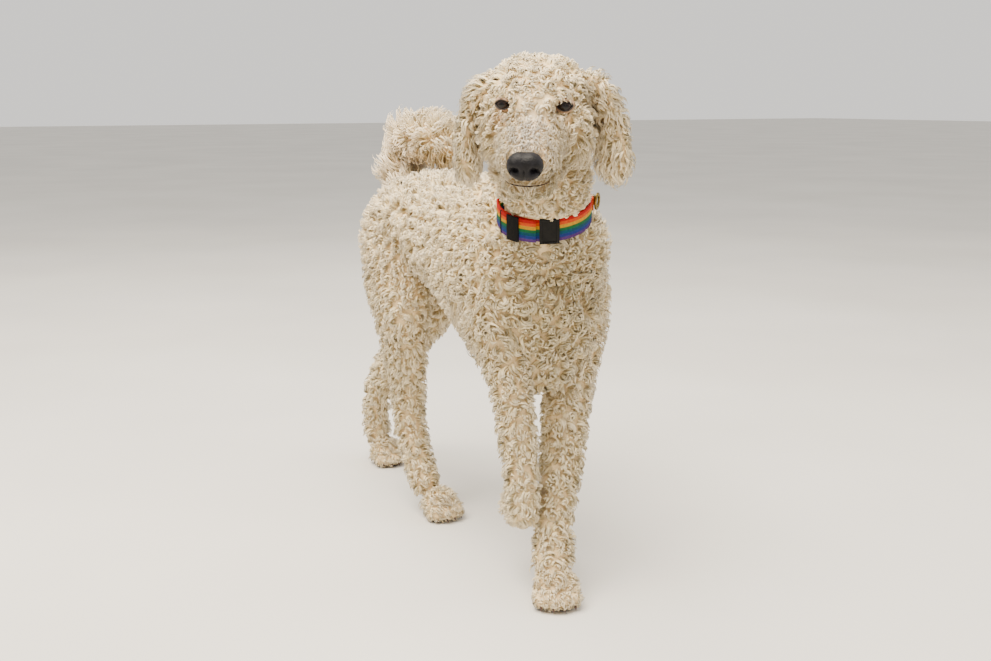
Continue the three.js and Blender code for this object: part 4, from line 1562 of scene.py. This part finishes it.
        squeeze = np.minimum(1.0, h / 9.0)
        s = np.linspace(0, 1, self.rings)
        rise = np.sin(0.62 * math.pi * s)
        hand = np.sign(own[:, [4]] - 0.5)
        phase = 2 * math.pi * (own[:, [3]] + 0.3 * random.random((count, 1)) + hand * turns * s)
        swing = curl * squeeze * smooth(0.0, 0.4, s) * (1.0 - 0.3 * s)
        wind = (np.radians(coil) * hand * (0.7 + 0.6 * random.random((count, 1))) * s)[:, :, None]
        round_way = np.cross(up, off)
        wound = off[:, None, :] * np.cos(wind) + round_way[:, None, :] * np.sin(wind)
        wound = wound * (1 - gather * s**2)[:, :, None]
        plane = along * np.cos(tilt) - up * np.sin(tilt)
        centre = (
            roots[:, None, :]
            + up[:, None, :] * ((h + self.sink) * rise - self.sink)[:, :, None]
            + along[:, None, :] * (reach * s**1.5)[:, :, None]
            + wound
            - off[:, None, :]
            + plane[:, None, :] * (swing * np.cos(phase))[:, :, None]
            + across[:, None, :] * (swing * np.sin(phase))[:, :, None]
        )
        way = unit(np.gradient(centre, axis=1))
        wide = unit(across[:, None, :] - way * (way * across[:, None, :]).sum(axis=2, keepdims=True))
        thin = np.cross(way, wide)
        girth = half * (0.7 + 0.6 * random.random((count, 1))) * np.maximum(0, 1 - s**2) ** 0.7
        angle = np.arange(self.sides) * 2 * math.pi / self.sides + 0.5
        body = self.rings - 1
        outward = (
            wide[:, :body, None, :] * (self.flat * np.cos(angle))[:, None]
            + thin[:, :body, None, :] * (np.sin(angle) / self.flat)[:, None]
        )
        ring = centre[:, :body, None, :] + outward * girth[:, :body, None, None]
        points = np.concatenate([ring.reshape(count, -1, 3), centre[:, -1:, :]], axis=1)
        per = points.shape[1]
        dome = (points - middles[bunch][:, None, :]) / (self.bunch_reach * size)[:, :, None]
        dome = dome - up[:, None, :] * (dome * up[:, None, :]).sum(axis=2, keepdims=True)
        proud = np.concatenate([unit(outward).reshape(count, -1, 3), way[:, -1:, :]], axis=1)
        soft = unit(up[:, None, :] + self.rounding * dome + self.crisp * proud)
        quads = grid_faces(body, self.sides)
        top = (body - 1) * self.sides
        k = np.arange(self.sides)
        tip = np.stack([top + k, top + (k + 1) % self.sides, np.full(self.sides, per - 1)], axis=1)
        faces = np.concatenate([quads[:, [0, 1, 2]], quads[:, [0, 2, 3]], tip, [[2, 1, 0]]])
        faces = (faces[None] + (np.arange(count) * per)[:, None, None]).reshape(-1, 3)
        at = np.append(np.repeat(s[:body], self.sides), 1.0)
        turn = np.append(np.tile(k / self.sides, body), 0.5)
        patch = np.stack([turn, at], axis=1) * self.patch
        root_tint, tip_tint = self.markings_and_shade.colours(roots)
        # Locks at a bunch's edge keep more of the roots' tan, a painted shade between the bunches
        blend = smooth(0.0, 0.7, at)[None, :, None] * (1 - 0.3 * edge**2)[:, :, None]
        value = 1 + 0.1 * (own[:, 5] - 0.6) + 0.08 * (random.random(count) - 0.5)
        tint = (root_tint[:, None] * (1 - blend) + tip_tint[:, None] * blend) * value[:, None, None]
        return Surface(
            points.reshape(-1, 3),
            faces,
            (uv[:, None, :] + patch[None]).reshape(-1, 2),
            np.clip(tint, 0, 1).reshape(-1, 3),
            normals=soft.reshape(-1, 3),
        )

    def build(self, shop: Workshop, ground: Ground, material: bpy.types.Material) -> None:
        """Grows the whole coat, one piece for each part of the body.

        Args:
            shop: Where pieces are made.
            ground: The skin.
            material: The coat's finish.
        """
        random = np.random.default_rng(self.seed)
        triangle, weight = self.roots(ground, random)
        log.info("roots drawn: %d", len(triangle))
        corner = ground.triangles[triangle]

        def carried(values: Array) -> Array:
            """Blends corner values by each root's weights."""
            return (values[corner] * weight[..., None]).sum(axis=1)

        points = carried(ground.points)
        share = self.length_share(points)
        keep = share > 0
        limbs = self.body.limbs()
        groups = np.array([self.group(limb) for limb in limbs])[ground.limb[corner[:, 0]]]
        style = ground.style[corner[:, 0]]
        reach = np.array([kind.value.reach for kind in Coat])[style]
        height = carried(ground.depth[:, None])[:, 0] * (1 - CORE_SHARE) * reach * share
        normals = unit(carried(ground.normals))
        lie = unit(carried(ground.lie))
        uv = (ground.uv[triangle] * weight[..., None]).sum(axis=1)
        for name in sorted(set(groups)):
            mine = np.flatnonzero(keep & (groups == name))
            parts = -(-len(mine) // self.most)
            mine = mine[np.argsort(points[mine, 1], kind="stable")]
            for number, some in enumerate(np.array_split(mine, parts)):
                chosen = (values[some] for values in (points, normals, lie, height, style, uv))
                surface = self.locks(*chosen, random)
                surface.points[:, 2] = np.maximum(surface.points[:, 2], self.floor)
                shop.piece(name if parts == 1 else f"{name}_{number + 1}", surface, material)


# The small parts of the head and feet


@dataclass
class Eyeball:
    """Both eyes: a ball with a bulged cornea, coloured by rings of iris and pupil, and the lids round it."""

    pair: EyePair
    rings: int = 40
    columns: int = 48
    iris: float = 0.58  # radius of the iris as a share of the ball's
    pupil: float = 0.3
    bulge: float = 0.6

    def ball(self, side: int) -> Surface:
        """Builds one eyeball.

        Args:
            side: 1 for the dog's left, -1 for its right.

        Returns:
            A sphere whose pole looks along -Y, raised by bulge * (1 - (r / iris)^2) over the iris.
        """
        p, a = globe(self.rings, self.columns)
        r = np.sin(p)
        front = p < math.pi / 2
        raised = np.where(front & (r < self.iris), self.bulge * (1 - (r / self.iris) ** 2), 0.0)
        radius = self.pair.radius + raised
        points = np.stack([radius * r * np.cos(a), -radius * np.cos(p), radius * r * np.sin(a)], axis=1)
        sclera = np.array(linear("1f130e")[:3])
        brown = np.array(linear("22120a")[:3])
        black = np.array(linear("060405")[:3])
        rim = smooth(self.iris - 0.03, self.iris + 0.05, r)[:, None]
        pupil = smooth(self.pupil - 0.02, self.pupil + 0.03, r)[:, None]
        spokes = (0.75 + 0.25 * np.sin(a * 23 + 3 * np.sin(a * 7)))[:, None]
        iris = black * (1 - pupil) + brown * spokes * pupil
        colour = np.where(front[:, None], iris * (1 - rim) + sclera * rim, sclera)
        made = Surface(points, grid_faces(self.rings, self.columns)[:, ::-1], None, colour)
        return made.placed(self.pair.place(side))

    def lids(self, side: int) -> Surface:
        """Builds the lids of one eye as a ring from inside the rim out to the coat.

        Args:
            side: 1 for the dog's left, -1 for its right.

        Returns:
            A surface over angle a and profile. Its rim is the almond x = w cos a, z = h |sin a|^1.6. At each
            step outwards it grows by the step's spread and stands the step's lift over the eyeball,
            y = -sqrt((R + lift)^2 - x^2 - z^2).
        """
        spread = np.array([-0.4, 0.0, 0.4, 0.9, 1.6, 2.6, 3.8, 5.5])
        lift = np.array([-0.8, 0.5, 1.2, 1.5, 1.7, 1.7, 1.2, 0.0])
        columns = 72
        a = np.tile(np.arange(columns) * 2 * math.pi / columns, len(spread))
        grow = np.repeat(spread, columns)
        x = (self.pair.fissure_wide / 2 + grow) * np.cos(a)
        rise = np.where(np.sin(a) > 0, 1.0, 0.9)
        bow = np.abs(np.sin(a))
        z = (self.pair.fissure_tall / 2 * bow**1.6 + np.maximum(grow, 0) * bow) * rise * np.sign(np.sin(a))
        out = self.pair.radius + np.repeat(lift, columns)
        y = -np.sqrt(np.maximum(out**2 - x**2 - z**2, 0.0))
        behind = np.maximum(0, np.hypot(x, z) - out * 0.93)
        points = np.stack([x, y + behind * 0.8, z], axis=1)
        dark = np.array(linear("120b0a")[:3])
        haired = np.array(linear("b4957a")[:3])
        share = smooth(1.0, 3.2, grow)[:, None]
        colour = dark * (1 - share) + haired * share
        made = Surface(points, grid_faces(len(spread), columns), None, colour)
        return made.placed(self.pair.place(side))

    def build(self, shop: Workshop, wet: bpy.types.Material, skin: bpy.types.Material) -> None:
        """Makes both eyes and their lids.

        Args:
            shop: Where pieces are made.
            wet: The eyeball's finish.
            skin: The lids' finish.
        """
        for side, name in ((1, "left"), (-1, "right")):
            shop.piece(f"eyeball_{name}", self.ball(side), wet, (f"eye_{name}",))
            shop.piece(f"eyelids_{name}", self.lids(side), skin)


@dataclass
class NoseLeather:
    """The nose: a rounded leather block with comma nostrils, side slits and a groove."""

    sizes: Nose
    rings: int = 110
    columns: int = 150

    def surface(self) -> Surface:
        """Builds the nose.

        Returns:
            A superellipsoid with |x|^2.5 + |y|^2.5 + |z|^2.35 = 1, narrower below, with each nostril sunk by
            deep * exp(-(d / w)^2), where d is the distance in front view to an arc that hooks outwards and w
            narrows along it.
        """
        n = self.sizes
        p, a = globe(self.rings, self.columns)
        way = np.stack([np.sin(p) * np.cos(a), -np.cos(p), np.sin(p) * np.sin(a)], axis=1)
        puffed = np.sign(way) * np.abs(way) ** np.array([0.8, 0.8, 0.85])
        taper = 1 - 0.16 * np.maximum(0, -puffed[:, 2])
        x = puffed[:, 0] * n.half * taper
        y = puffed[:, 1] * n.long
        z = puffed[:, 2] * n.tall
        front = smooth(-0.1, -0.5, puffed[:, 1])
        hook = np.linspace(0, 1, 14)
        hook_x = n.nostril_x + 7.2 * hook**0.9
        hook_z = n.nostril_z + 1.8 * np.sin(math.pi * hook) - 5.0 * hook**1.6
        reach = 3.3 - 1.9 * hook
        off = np.hypot(np.abs(x)[:, None] - hook_x, z[:, None] - hook_z) / reach
        pit = np.exp(-(off.min(axis=1) ** 2)) * front
        fade = smooth(19.5, 11.0, np.abs(x))
        y = y + n.nostril_deep * pit * (0.45 + 0.55 * fade)
        groove = np.exp(-((x / 0.9) ** 2)) * smooth(3.0, -3.0, z) * front
        y = y + 1.5 * groove
        wing = np.exp(-(((np.abs(x) - 13.5) / 5.0) ** 2) - ((z - 6.5) / 4.5) ** 2) * front
        y = y - 1.1 * wing
        z = z - 1.2 * np.exp(-((x / 5.0) ** 2)) * smooth(6, 14, z)
        points = np.stack([x, y, z], axis=1) + np.array(n.at)
        return Surface(points, grid_faces(self.rings, self.columns)[:, ::-1]).placed(HEAD)

    def build(self, shop: Workshop, material: bpy.types.Material) -> None:
        """Makes the nose.

        Args:
            shop: Where pieces are made.
            material: The leather's finish.
        """
        shop.piece("nose_pad", self.surface(), material, ("nose",))


def tube(middle: Array, half: Array, across: Array, columns: int = 10) -> Surface:
    """Carries an ellipse along a line of points.

    Args:
        middle: The line's points.
        half: Half width and half depth at each point.
        across: The direction of the half width.
        columns: Points round each section.

    Returns:
        A grid whose point is middle + w cos a across + d sin a deep, with deep at right angles to both.
    """
    way = unit(np.gradient(middle, axis=0))
    across = unit(across - way * (way * across).sum(axis=1, keepdims=True))
    deep = np.cross(way, across)
    a = np.arange(columns) * 2 * math.pi / columns
    points = (
        middle[:, None]
        + across[:, None] * (half[:, [0]] * np.cos(a))[..., None]
        + deep[:, None] * (half[:, [1]] * np.sin(a))[..., None]
    )
    return Surface(points.reshape(-1, 3), grid_faces(len(middle), columns))


@dataclass
class Mouth:
    """The dark edges of the lips, which show at the front, where the hair of the muzzle parts over them."""

    lips: Lips
    inset: float = 0.982  # the edge lies this share of the way out to the line of the lips
    half_tall: float = 0.75
    half_deep: float = 1.1
    count: int = 90  # points along the middle third of the line, which is the part that shows

    def build(self, shop: Workshop, material: bpy.types.Material) -> None:
        """Makes the lips as one thin rolled edge, fullest at the front and fine at its ends.

        Args:
            shop: Where pieces are made.
            material: The leather's finish.
        """
        middle = self.lips.points(3 * self.count)[self.count : 2 * self.count]
        s = np.linspace(0, 1, self.count)
        middle[:, :2] *= self.inset
        swell = np.sin(math.pi * np.clip(s, 0.001, 0.999)) ** 0.7
        half = np.stack([self.half_tall * swell, self.half_deep * swell], axis=1)
        up = np.tile(np.array([0.0, 0.0, 1.0]), (self.count, 1))
        shop.piece("lips", tube(middle, half, up, 12).placed(HEAD), material)


@dataclass
class Claws:
    """Four worn claws on each foot, curved down to the ground."""

    body: Body
    long: float = 10.0
    half: float = 2.3
    gap: float = 15.5  # distance between neighbouring claws
    ahead: float = 7.0  # how far a claw's root lies ahead of its toe's middle
    up: float = 11.5  # height of the root
    dip: float = 4.5  # how far the claw slopes down, besides its hook
    hook: float = 4.0
    rings: int = 14

    def claw(self, toe: float) -> Surface:
        """Builds one claw in its foot's frame.

        Args:
            toe: The toe's number across the foot, from -1.5 to 1.5.

        Returns:
            A tube drawn to a blunt point, half sqrt(1 - s^2) thick, that dips by dip s + hook s^2.
        """
        s = np.linspace(0, 1, self.rings)
        x = np.full(self.rings, toe * self.gap)
        y = -self.body.toe_ahead(toe) - self.ahead - self.long * 0.92 * s
        z = self.up - self.dip * s - self.hook * s**2
        thick = self.half * np.sqrt(np.maximum(1 - s**2, 0.0008))
        side = np.tile(np.array([1.0, 0.0, 0.0]), (self.rings, 1))
        return tube(np.stack([x, y, z], axis=1), np.stack([thick * 0.8, thick], axis=1), side, 12)

    def build(self, shop: Workshop, material: bpy.types.Material) -> None:
        """Makes the claws of each foot as one piece.

        Args:
            shop: Where pieces are made.
            material: The horn's finish.
        """
        for paw in self.body.paws():
            foot = joined([self.claw(toe) for toe in self.body.toes]).placed(paw.place)
            shop.piece(f"claws_{paw.name}", foot, material)


@dataclass
class Pads:
    """The bare leather pads under each foot: one wide heel pad and four toe pads."""

    body: Body
    gap: float = 14.5  # distance between neighbouring toe pads
    back: float = 2.0  # how far a toe pad lies behind its toe's middle
    up: float = 4.5
    heel_half: Point = (17.0, 13.0, 5.0)
    toe_half: Point = (6.6, 9.0, 5.0)
    lowest: float = 0.2  # the flat that every pad stands on
    rings: int = 20
    columns: int = 28

    def pad(self, middle: Point, half: Point) -> Surface:
        """Builds one pad.

        Args:
            middle: Its middle in the foot's frame.
            half: Its half sizes.

        Returns:
            An ellipsoid, cut flat where it would reach lower than the sole.
        """
        p, a = globe(self.rings, self.columns)
        way = np.stack([np.sin(p) * np.cos(a), np.sin(p) * np.sin(a), np.cos(p)], axis=1)
        points = way * np.array(half) + np.array(middle)
        points[:, 2] = np.maximum(points[:, 2], self.lowest)
        return Surface(points, grid_faces(self.rings, self.columns)[:, ::-1])

    def build(self, shop: Workshop, material: bpy.types.Material) -> None:
        """Makes the pads of each foot as one piece.

        Args:
            shop: Where pieces are made.
            material: The leather's finish.
        """
        for paw in self.body.paws():
            pads = [self.pad((0.0, 4.0, self.up), self.heel_half)]
            for toe in self.body.toes:
                middle = (toe * self.gap, self.back - self.body.toe_ahead(toe), self.up)
                pads.append(self.pad(middle, self.toe_half))
            shop.piece(f"pads_{paw.name}", joined(pads).placed(paw.place), material)


# The collar


@dataclass
class Collar:
    """A webbing collar with rainbow stripes: strap end, keeper sleeve, blank patch, tab, stud and ring."""

    sizes: CollarSizes
    stripes: tuple[str, ...] = ("4d2f68", "1c2e74", "0d4257", "125a30", "b98a1c", "c2460f", "a3130f")
    steps: int = 160
    round_edge: float = 0.8
    gap: float = 0.2  # between what lies on the band and the band
    wider: float = 4.0  # how much wider than the band the sleeve and the patch are
    patch_from: float = -106.0  # where the patch starts and ends, in degrees from the dog's left
    patch_to: float = -83.0
    frame_arc: float = 3.6  # the patch's raised frame, in degrees at its ends and in millimetres at its sides
    frame_wide: float = 3.4
    tab_wide: float = 18.0
    stud_half: Point = (5.4, 7.4, 2.0)
    ring_radius: float = 8.0
    wire: float = 1.8  # half the thickness of the ring's wire

    def strip(
        self, inner: float, outer: float, width: float, span: tuple[float, float], rise: float = 0.0
    ) -> Surface:
        """Builds a length of strap along the collar's oval.

        Args:
            inner: Its inner face, out from the oval.
            outer: Its outer face.
            width: Its width along the collar's axis.
            span: Where it starts and ends, in degrees from the dog's left; a span of 360 closes on itself.
            rise: How far its middle lies above the collar's.

        Returns:
            A rounded oblong section swept round the oval, drawn in at free ends, with UVs in centimetres
            along and across, v = 0 at mid width.
        """
        size = self.sizes
        closed = abs(span[1] - span[0] - 360) < 1e-6
        e = min(self.round_edge, (outer - inner) / 2 * 0.98)
        corner = np.radians(np.array([0, 30, 60, 90]))
        across = width / 2 - e
        deep = (outer - inner) / 2 - e
        run, lift = [], []
        for start, x_sign, z_sign in ((0, 1, 1), (90, -1, 1), (180, -1, -1), (270, 1, -1)):
            angle = corner + math.radians(start)
            run.append(x_sign * deep + e * np.cos(angle))
            lift.append(z_sign * across + e * np.sin(angle))
        run = np.concatenate(run)
        lift = np.concatenate(lift)
        count = self.steps if closed else max(24, int(self.steps * abs(span[1] - span[0]) / 360))
        share = np.arange(count) / count if closed else np.linspace(0, 1, count)
        angle = np.radians(span[0] + (span[1] - span[0]) * share)
        close = np.ones(count)
        if not closed:
            close[[0, -1]] = 0.02
            close[[1, -2]] = 0.9
            angle[1] = angle[0] + 0.002
            angle[-2] = angle[-1] - 0.002
        mid = (inner + outer) / 2
        radial = mid + close[:, None] * run[None, :]
        x = (size.half + radial) * np.cos(angle)[:, None]
        y = (size.deep + radial) * np.sin(angle)[:, None]
        z = np.broadcast_to(lift, radial.shape) * np.where(close > 0.5, 1, 0.98)[:, None] + rise
        points = np.stack([x, y, z], axis=2).reshape(-1, 3)
        along = np.broadcast_to(angle[:, None] * (size.half + size.deep) / 20, radial.shape)
        uv = np.stack([along, (z - rise) / 10], axis=2).reshape(-1, 2)
        faces = grid_faces(count, len(run), wrap_rows=closed)
        return Surface(points, faces[:, ::-1], uv, None, "weave").placed(size.place)

    def oval(self, middle: Point, half: Point, turn: float) -> Surface:
        """Builds a domed oval stud.

        Args:
            middle: Its middle in the collar's frame.
            half: Its half sizes, outwards last.
            turn: Its place round the collar, in degrees from the dog's left.

        Returns:
            A superellipsoid in the dog's frame.
        """
        rings, columns = 24, 32
        p, a = globe(rings, columns)
        way = np.stack([np.sin(p) * np.cos(a), np.sin(p) * np.sin(a), np.cos(p)], axis=1)
        way = np.sign(way) * np.abs(way) ** 0.85 * np.array(half)
        local = np.stack([way[:, 2], way[:, 0], way[:, 1]], axis=1) @ rotation("z", turn).T
        faces = grid_faces(rings, columns)[:, ::-1]
        return Surface(local + np.array(middle), faces).placed(self.sizes.place)

    def ring(self) -> Surface:
        """Builds the ring that hangs at the dog's left: a torus, a quarter longer than it is wide."""
        around, tube_columns = 64, 20
        a = np.repeat(np.arange(around) * 2 * math.pi / around, tube_columns)
        b = np.tile(np.arange(tube_columns) * 2 * math.pi / tube_columns, around)
        radius = self.ring_radius + self.wire * np.cos(b)
        local = np.stack([radius * np.cos(a), self.wire * np.sin(b), 1.25 * radius * np.sin(a)], axis=1)
        place = np.array([self.sizes.half + self.sizes.thick + 8, -2.0, 6.0])
        points = local @ rotation("z", 60).T + place
        return Surface(points, grid_faces(around, tube_columns, wrap_rows=True)).placed(self.sizes.place)

    def build(self, shop: Workshop) -> None:
        """Makes every part of the collar.

        Args:
            shop: Where pieces are made.
        """
        thick = self.sizes.thick
        width = self.sizes.width
        rainbow = WebbingFinish("rainbow_woven_webbing", self.stripes, width).build()
        black = WebbingFinish("black_woven_webbing", ("0a0a0b",), width).build()
        orange = WebbingFinish("orange_woven_webbing", ("d2582f",), self.tab_wide).build()
        rubber = RUBBER.build()
        band = self.strip(0.0, thick, width, (-84.0, 276.0))
        shop.piece("webbing_band", band, rainbow, ("collar_band",))
        strap = self.strip(thick + 0.3, 2 * thick, width, (-159.0, -110.0))
        shop.piece("webbing_strap_end", strap, rainbow, ("collar_strap_end",))
        edge = self.strip(thick + self.gap, 2 * thick + 0.3, width, (-161.0, -158.6))
        shop.piece("webbing_strap_edge", edge, black)
        sleeve = self.strip(2 * thick + 0.1, 2 * thick + 2.8, width + self.wider, (-146.0, -130.0))
        shop.piece("webbing_sleeve", sleeve, black, ("collar_sleeve",))
        low = thick + self.gap
        high = thick + 3.0
        start, end = self.patch_from, self.patch_to
        inner_span = (start + 2, end - 2)
        edge_rise = width / 2 + 0.3
        patch = [
            self.strip(low, high, width + self.wider, (start, start + self.frame_arc)),
            self.strip(low, high, width + self.wider, (end - self.frame_arc, end)),
            self.strip(low, high, self.frame_wide, inner_span, edge_rise),
            self.strip(low, high, self.frame_wide, inner_span, -edge_rise),
            self.strip(low, thick + 2.3, width + self.wider / 2, inner_span),
        ]
        shop.piece("rubber_patch", joined(patch), rubber, ("collar_patch",))
        tab = self.strip(low, thick + 2.8, self.tab_wide, (-6.0, 8.0), 4.0)
        shop.piece("webbing_tab", tab, orange, ("collar_tab",))
        stud_place = (self.sizes.half + thick + 4.2, 2.0, 7.0)
        stud = self.oval(stud_place, self.stud_half, 2.0)
        shop.piece("collar_stud", stud, STUD.build())
        shop.piece("brass_ring", self.ring(), BRASS.build(), ("collar_ring",))


# The studio


@dataclass
class Studio:
    """A pale floor, soft light from above like a bright overcast sky, and the camera of the photo's view."""

    sun_watts: float = 520.0
    fill_watts: float = 35.0
    world: float = 1.3
    floor_half: float = 30.0  # metres
    lens: float = 45.41  # millimetres, over a sensor this wide
    sensor: float = 36.0
    camera_at: Point = (-887.4, -1647.0, 670.0)  # in the dog's own frame
    camera_dip: float = 10.54  # degrees below level
    camera_heading: float = -30.0

    def floor(self) -> None:
        """Lays a wide pale floor at z = 0, which isn't part of the dog."""
        material, tree, shader = new_material("pale_studio_floor")
        place = node(tree, "ShaderNodeTexCoord").outputs["Object"]
        cloud = node(tree, "ShaderNodeTexNoise", inputs={"Vector": place, "Scale": 1.2, "Detail": 3.0})
        stops = ((0.3, "c9c6c0"), (0.7, "d3d0ca"))
        colour = node(tree, "ShaderNodeValToRGB", inputs={"Fac": cloud.outputs["Fac"]}, stops=stops)
        plug(tree, shader, {"Base Color": colour.outputs["Color"], "Roughness": 0.8})
        data = bpy.data.meshes.new("floor")
        r = self.floor_half
        corners = [(-r, -r, 0), (r, -r, 0), (r, r, 0), (-r, r, 0)]
        data.from_pydata(corners, [], [(0, 1, 2, 3)])
        data.materials.append(material)
        floor = bpy.data.objects.new("floor", data)
        bpy.context.scene.collection.objects.link(floor)

    def light(self, name: str, at: Point, size: float, watts: float, warmth: str) -> None:
        """Hangs one square area light that looks at the middle of the dog.

        Args:
            name: Its name.
            at: Its place in metres.
            size: Its side.
            watts: Its power.
            warmth: Its colour.
        """
        data = bpy.data.lights.new(name, "AREA")
        data.size = size
        data.energy = watts
        data.color = linear(warmth)[:3]
        lamp = bpy.data.objects.new(name, data)
        bpy.context.scene.collection.objects.link(lamp)
        way = np.array([0.0, 0.0, 0.4]) - np.array(at)
        pitch = math.atan2(math.hypot(way[0], way[1]), -way[2])
        lamp.location = at
        lamp.rotation_euler = (pitch, 0.0, math.atan2(-way[0], way[1]))

    def camera(self, shift: Array) -> None:
        """Sets up the camera, whose place was found from the photo's horizon and the dog's size.

        Args:
            shift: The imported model's shift from the dog's own frame, in millimetres.
        """
        data = bpy.data.cameras.new("camera")
        data.lens = self.lens
        data.sensor_width = self.sensor
        camera = bpy.data.objects.new("camera", data)
        bpy.context.scene.collection.objects.link(camera)
        camera.location = tuple((np.array(self.camera_at) + shift) / 1000)
        camera.rotation_euler = (math.radians(90 - self.camera_dip), 0.0, math.radians(self.camera_heading))
        bpy.context.scene.camera = camera

    def build(self, shift: Array) -> None:
        """Makes the floor, the lights, the sky's even light and the camera.

        Args:
            shift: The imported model's shift, in millimetres.
        """
        self.floor()
        self.light("sky_key", (-1.1, -0.5, 3.4), 3.0, self.sun_watts, "fff4e2")
        self.light("sky_fill", (2.8, -1.8, 1.8), 2.5, self.fill_watts, "fff8ee")
        self.light("sky_back", (0.6, 2.8, 2.6), 2.5, self.fill_watts, "fff6e8")
        world = bpy.data.worlds.new("studio")
        world.use_nodes = True
        back = world.node_tree.nodes["Background"]
        back.inputs["Color"].default_value = linear("ece9e4")
        back.inputs["Strength"].default_value = self.world
        bpy.context.scene.world = world
        self.camera(shift)


def main() -> None:
    """Builds the dog in order: skin, coat, eyes, nose, mouth, claws, pads and collar, then the studio."""
    logging.basicConfig(level=logging.INFO, format="%(message)s")
    shop = Workshop()
    log.info("packed model's shift, mm: %s", np.round(shop.shift, 3).tolist())
    body, eyes, nose, lips, collar, markings_and_shade = Body(), EyePair(), Nose(), Lips(), CollarSizes(), MarkingsAndShade()
    wool = WoolFinish().build()
    living = SkinFinish().build()
    ground = Skin(body, eyes, lips, markings_and_shade).build(shop, living)
    log.info("skin: %d points", len(ground.points))
    Fleece(body, eyes, nose, lips, collar, markings_and_shade).build(shop, ground, wool)
    Eyeball(eyes).build(shop, EyeFinish().build(), SkinFinish("eyelid_skin", 0.42, 0.7).build())
    nose_leather = LeatherFinish("nose_leather", "0b0a0c", "17161b", 0.46, 1.5, 0.35)
    NoseLeather(nose).build(shop, nose_leather.build())
    lip_leather = LeatherFinish("lip_skin", "1f1617", "33241f", 0.45, 1.0, 0.15)
    Mouth(lips).build(shop, lip_leather.build())
    Claws(body).build(shop, HORN.build())
    Pads(body).build(shop, LeatherFinish("pad_leather", "231e1d", "3a302c", 0.62, 1.4, 0.3).build())
    Collar(collar).build(shop)
    Studio().build(shop.shift)


if __name__ == "__main__":
    main()
